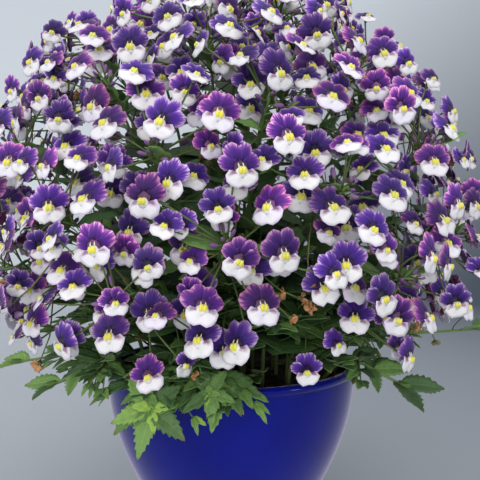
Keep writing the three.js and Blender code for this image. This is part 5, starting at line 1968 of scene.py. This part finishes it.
def soil_part():
    draw = make_random(SOIL_SEED)
    wall = POT_WALL + SOIL_GAP
    bottom = POT_FLOOR + SOIL_GAP
    heights = np.linspace(bottom, SOIL_TOP - 1.5, SOIL_SIDE_STEPS)
    profile = [(0.5, bottom)] + [(pot_side_radius(height) - wall, height) for height in heights]
    edge = pot_side_radius(SOIL_TOP) - wall
    profile += [(edge * (1 - ring / SOIL_RINGS), SOIL_TOP) for ring in range(SOIL_RINGS)] + [(0.4, SOIL_TOP)]
    part = turned(profile, SOIL_SIDES, "potting_soil")
    for point in part.points[(1 + SOIL_SIDE_STEPS) * SOIL_SIDES:]:
        point[2] = soil_height(point[0], point[1]) + SOIL_ROUGHNESS * (draw() - 0.5) * 2
    return part


# %% Loose crumbs
CRUMB_COUNT, CRUMB_SIZE, CRUMB_SEED, CRUMB_REACH, CRUMB_SUNK = 170, (0.6, 2.3), 6200, 78, 0.35
CRUMB_WIDTH, CRUMB_FLATNESS, CRUMB_JAGS, CRUMB_BRIGHTEST = (0.6, 1), (0.5, 0.9), 0.25, 2.2


def grow_crumbs(growth):
    draw = make_random(CRUMB_SEED)
    for _ in range(CRUMB_COUNT):
        radius, bearing = CRUMB_REACH * math.sqrt(draw()), 2 * math.pi * draw()
        size = between(*CRUMB_SIZE, draw() ** 2)
        x, y = radius * math.cos(bearing), radius * math.sin(bearing)
        centre = np.array([x, y, soil_height(x, y) + size * CRUMB_SUNK])
        radii = (1, between(*CRUMB_WIDTH, draw()), between(*CRUMB_FLATNESS, draw()))
        part = round_body((0, 0, 0), radii, 5, 4, "soil_crumb")
        jagged = part.points * (1 + CRUMB_JAGS * np.sin(part.points * 5 + 6 * draw())) * size
        axes = along_axes(np.array([draw() - 0.5, draw() - 0.5, draw() - 0.2]))
        growth.add(part, (draw(), draw() ** 3 * CRUMB_BRIGHTEST, draw()), centre + jagged @ axes)


soil_piece = single_piece(soil_part(), "potting_soil", "soil", "soil")
crumb_growth = Growth()
grow_crumbs(crumb_growth)
crumb_piece = crumb_growth.piece("soil_crumbs", "soil", "soil")
print("soil and crumb faces:", len(soil_piece.data.polygons), len(crumb_piece.data.polygons))

# %% [markdown]
# ## Stage, light and camera
# The plant stands in a round sweep: a pale floor that curves up into a grey-blue wall on every side,
# so each view has the same quiet background. The sweep glows a little though it is no lamp, and painted
# light and shade make it darker to the right and brighter upwards. Soft area lights stand in front,
# above and beside.

# %% The sweep
# Millimetres for its form, metres for the painted light and shade: darker to the right and brighter upwards.
SWEEP_FLOOR, SWEEP_BEND, SWEEP_TOP, SWEEP_SIDES = 1900, 600, 3600, 96
SHADE_TURNS_BACK, SHADE_UPWARD, SHADE_RIGHTWARD, SHADE_START = 2.6, 0.48, 0.34, 0.35
# Colours of the painted light and shade on the sweep, and the strength of its painted glow.
SWEEP_PAINTED_SHADES, SWEEP_PAINTED_GLOW = [(0.0, (0.070, 0.083, 0.104)), (1.0, (0.60, 0.626, 0.655))], 0.42


def sweep_material():
    material, tree = new_finish("pale_sweep", Roughness=0.9, Specular_IOR_Level=0.1)
    right, _, up = node(tree, "SeparateXYZ", {0: position(tree)}).outputs
    # Painted light and shade: darker to the right and brighter upwards.
    rightward = maths(tree, "MINIMUM", right, maths(tree, "SUBTRACT", SHADE_TURNS_BACK, right))
    brighter = maths(tree, "MULTIPLY", up, SHADE_UPWARD)
    lean = maths(tree, "SUBTRACT", brighter, maths(tree, "MULTIPLY", rightward, SHADE_RIGHTWARD))
    colour = ramp(tree, maths(tree, "ADD", lean, SHADE_START), SWEEP_PAINTED_SHADES, "LINEAR")
    shader = tree.nodes["Principled BSDF"].inputs
    plug(tree, shader["Base Color"], colour)
    # A painted glow: the sweep gives off light in its own colours, though it is no lamp.
    plug(tree, shader["Emission Color"], colour)
    plug(tree, shader["Emission Strength"], SWEEP_PAINTED_GLOW)
    return material


def sweep():
    bend = bead(SWEEP_FLOOR, SWEEP_BEND, SWEEP_BEND, -90, 0, 16)
    profile = [(0.5, 0)] + bend + [(SWEEP_FLOOR + SWEEP_BEND, SWEEP_TOP)]
    part = turned(profile, SWEEP_SIDES, "pale_sweep")
    mesh = new_mesh("sweep", part.points, part.faces[:-1])
    mesh.materials.append(sweep_material())
    made = in_scene("sweep", mesh)
    made.visible_glossy = False
    made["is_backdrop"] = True
    return made


sweep_piece = sweep()
print("faces of the sweep:", len(sweep_piece.data.polygons))


# %% Lights
def aim(made, place, target):
    made.location = place
    made.rotation_mode = "QUATERNION"
    made.rotation_quaternion = (Vector(target) - Vector(place)).to_track_quat("-Z", "Y")


def area_light(name, place, target, width, height, power, colour):
    light = bpy.data.lights.new(name, "AREA")
    light.shape, light.size, light.size_y = "RECTANGLE", width, height
    light.energy, light.color = power, colour
    made = in_scene(name, light)
    aim(made, place, target)
    return made


area_light("front_softbox", (-0.40, -1.3, 0.75), (0, 0, 0.2), 0.9, 0.9, 9.2, (1.0, 0.985, 0.96))
area_light("top_softbox", (0.1, -0.1, 1.5), (0, 0, 0.2), 1.2, 1.2, 5.5, (1.0, 0.99, 0.98))
area_light("right_window", (1.05, -0.75, 0.45), (0, 0, 0.1), 0.16, 0.55, 2.2, (0.93, 1.0, 0.98))
area_light("left_strip", (-1.1, -0.35, 0.4), (0, 0, 0.1), 0.12, 0.8, 1.5, (0.95, 0.97, 1.0))
low_fill = area_light("low_fill", (0.15, -1.35, 0.22), (0, 0, 0.08), 0.8, 0.4, 7.5, (1.0, 0.99, 0.98))
low_fill.visible_glossy = False
print("lights:", len(bpy.data.lights))

# %% The light of the room
ROOM_COLOUR, ROOM_STRENGTH = (0.80, 0.86, 0.94, 1), 0.6
world = bpy.data.worlds.new("pale_room")
world.use_nodes = True
background = world.node_tree.nodes["Background"].inputs
background["Color"].default_value = ROOM_COLOUR
background["Strength"].default_value = ROOM_STRENGTH
bpy.context.scene.world = world

# %% [markdown]
# Blooms in front look almost twice as wide as those at the outline, so the photographer stood near,
# about a third of a metre away, a little above the rim, and looked slightly up into the crown.

# %% The camera
CAMERA_PLACE, CAMERA_TARGET = (0.00607, -0.33965, 0.18004), (0.00607, 0.0, 0.1970)
CAMERA_LENS, CAMERA_SENSOR, CAMERA_NEAREST = 34.85, 36, 0.01
camera_data = bpy.data.cameras.new("photo_camera")
camera_data.lens, camera_data.sensor_width = CAMERA_LENS, CAMERA_SENSOR
camera_data.clip_start = CAMERA_NEAREST
camera = in_scene("photo_camera", camera_data)
aim(camera, CAMERA_PLACE, CAMERA_TARGET)
bpy.context.scene.camera = camera
bpy.context.scene.view_settings.view_transform = "Standard"
print("camera stands at", CAMERA_PLACE, "and looks at", CAMERA_TARGET)

# %% The size of the finished model
bpy.context.view_layer.update()
triangles = [sum(len(face.vertices) - 2 for face in piece.data.polygons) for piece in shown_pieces()]
print("triangles in all and in the largest piece:", sum(triangles), max(triangles))
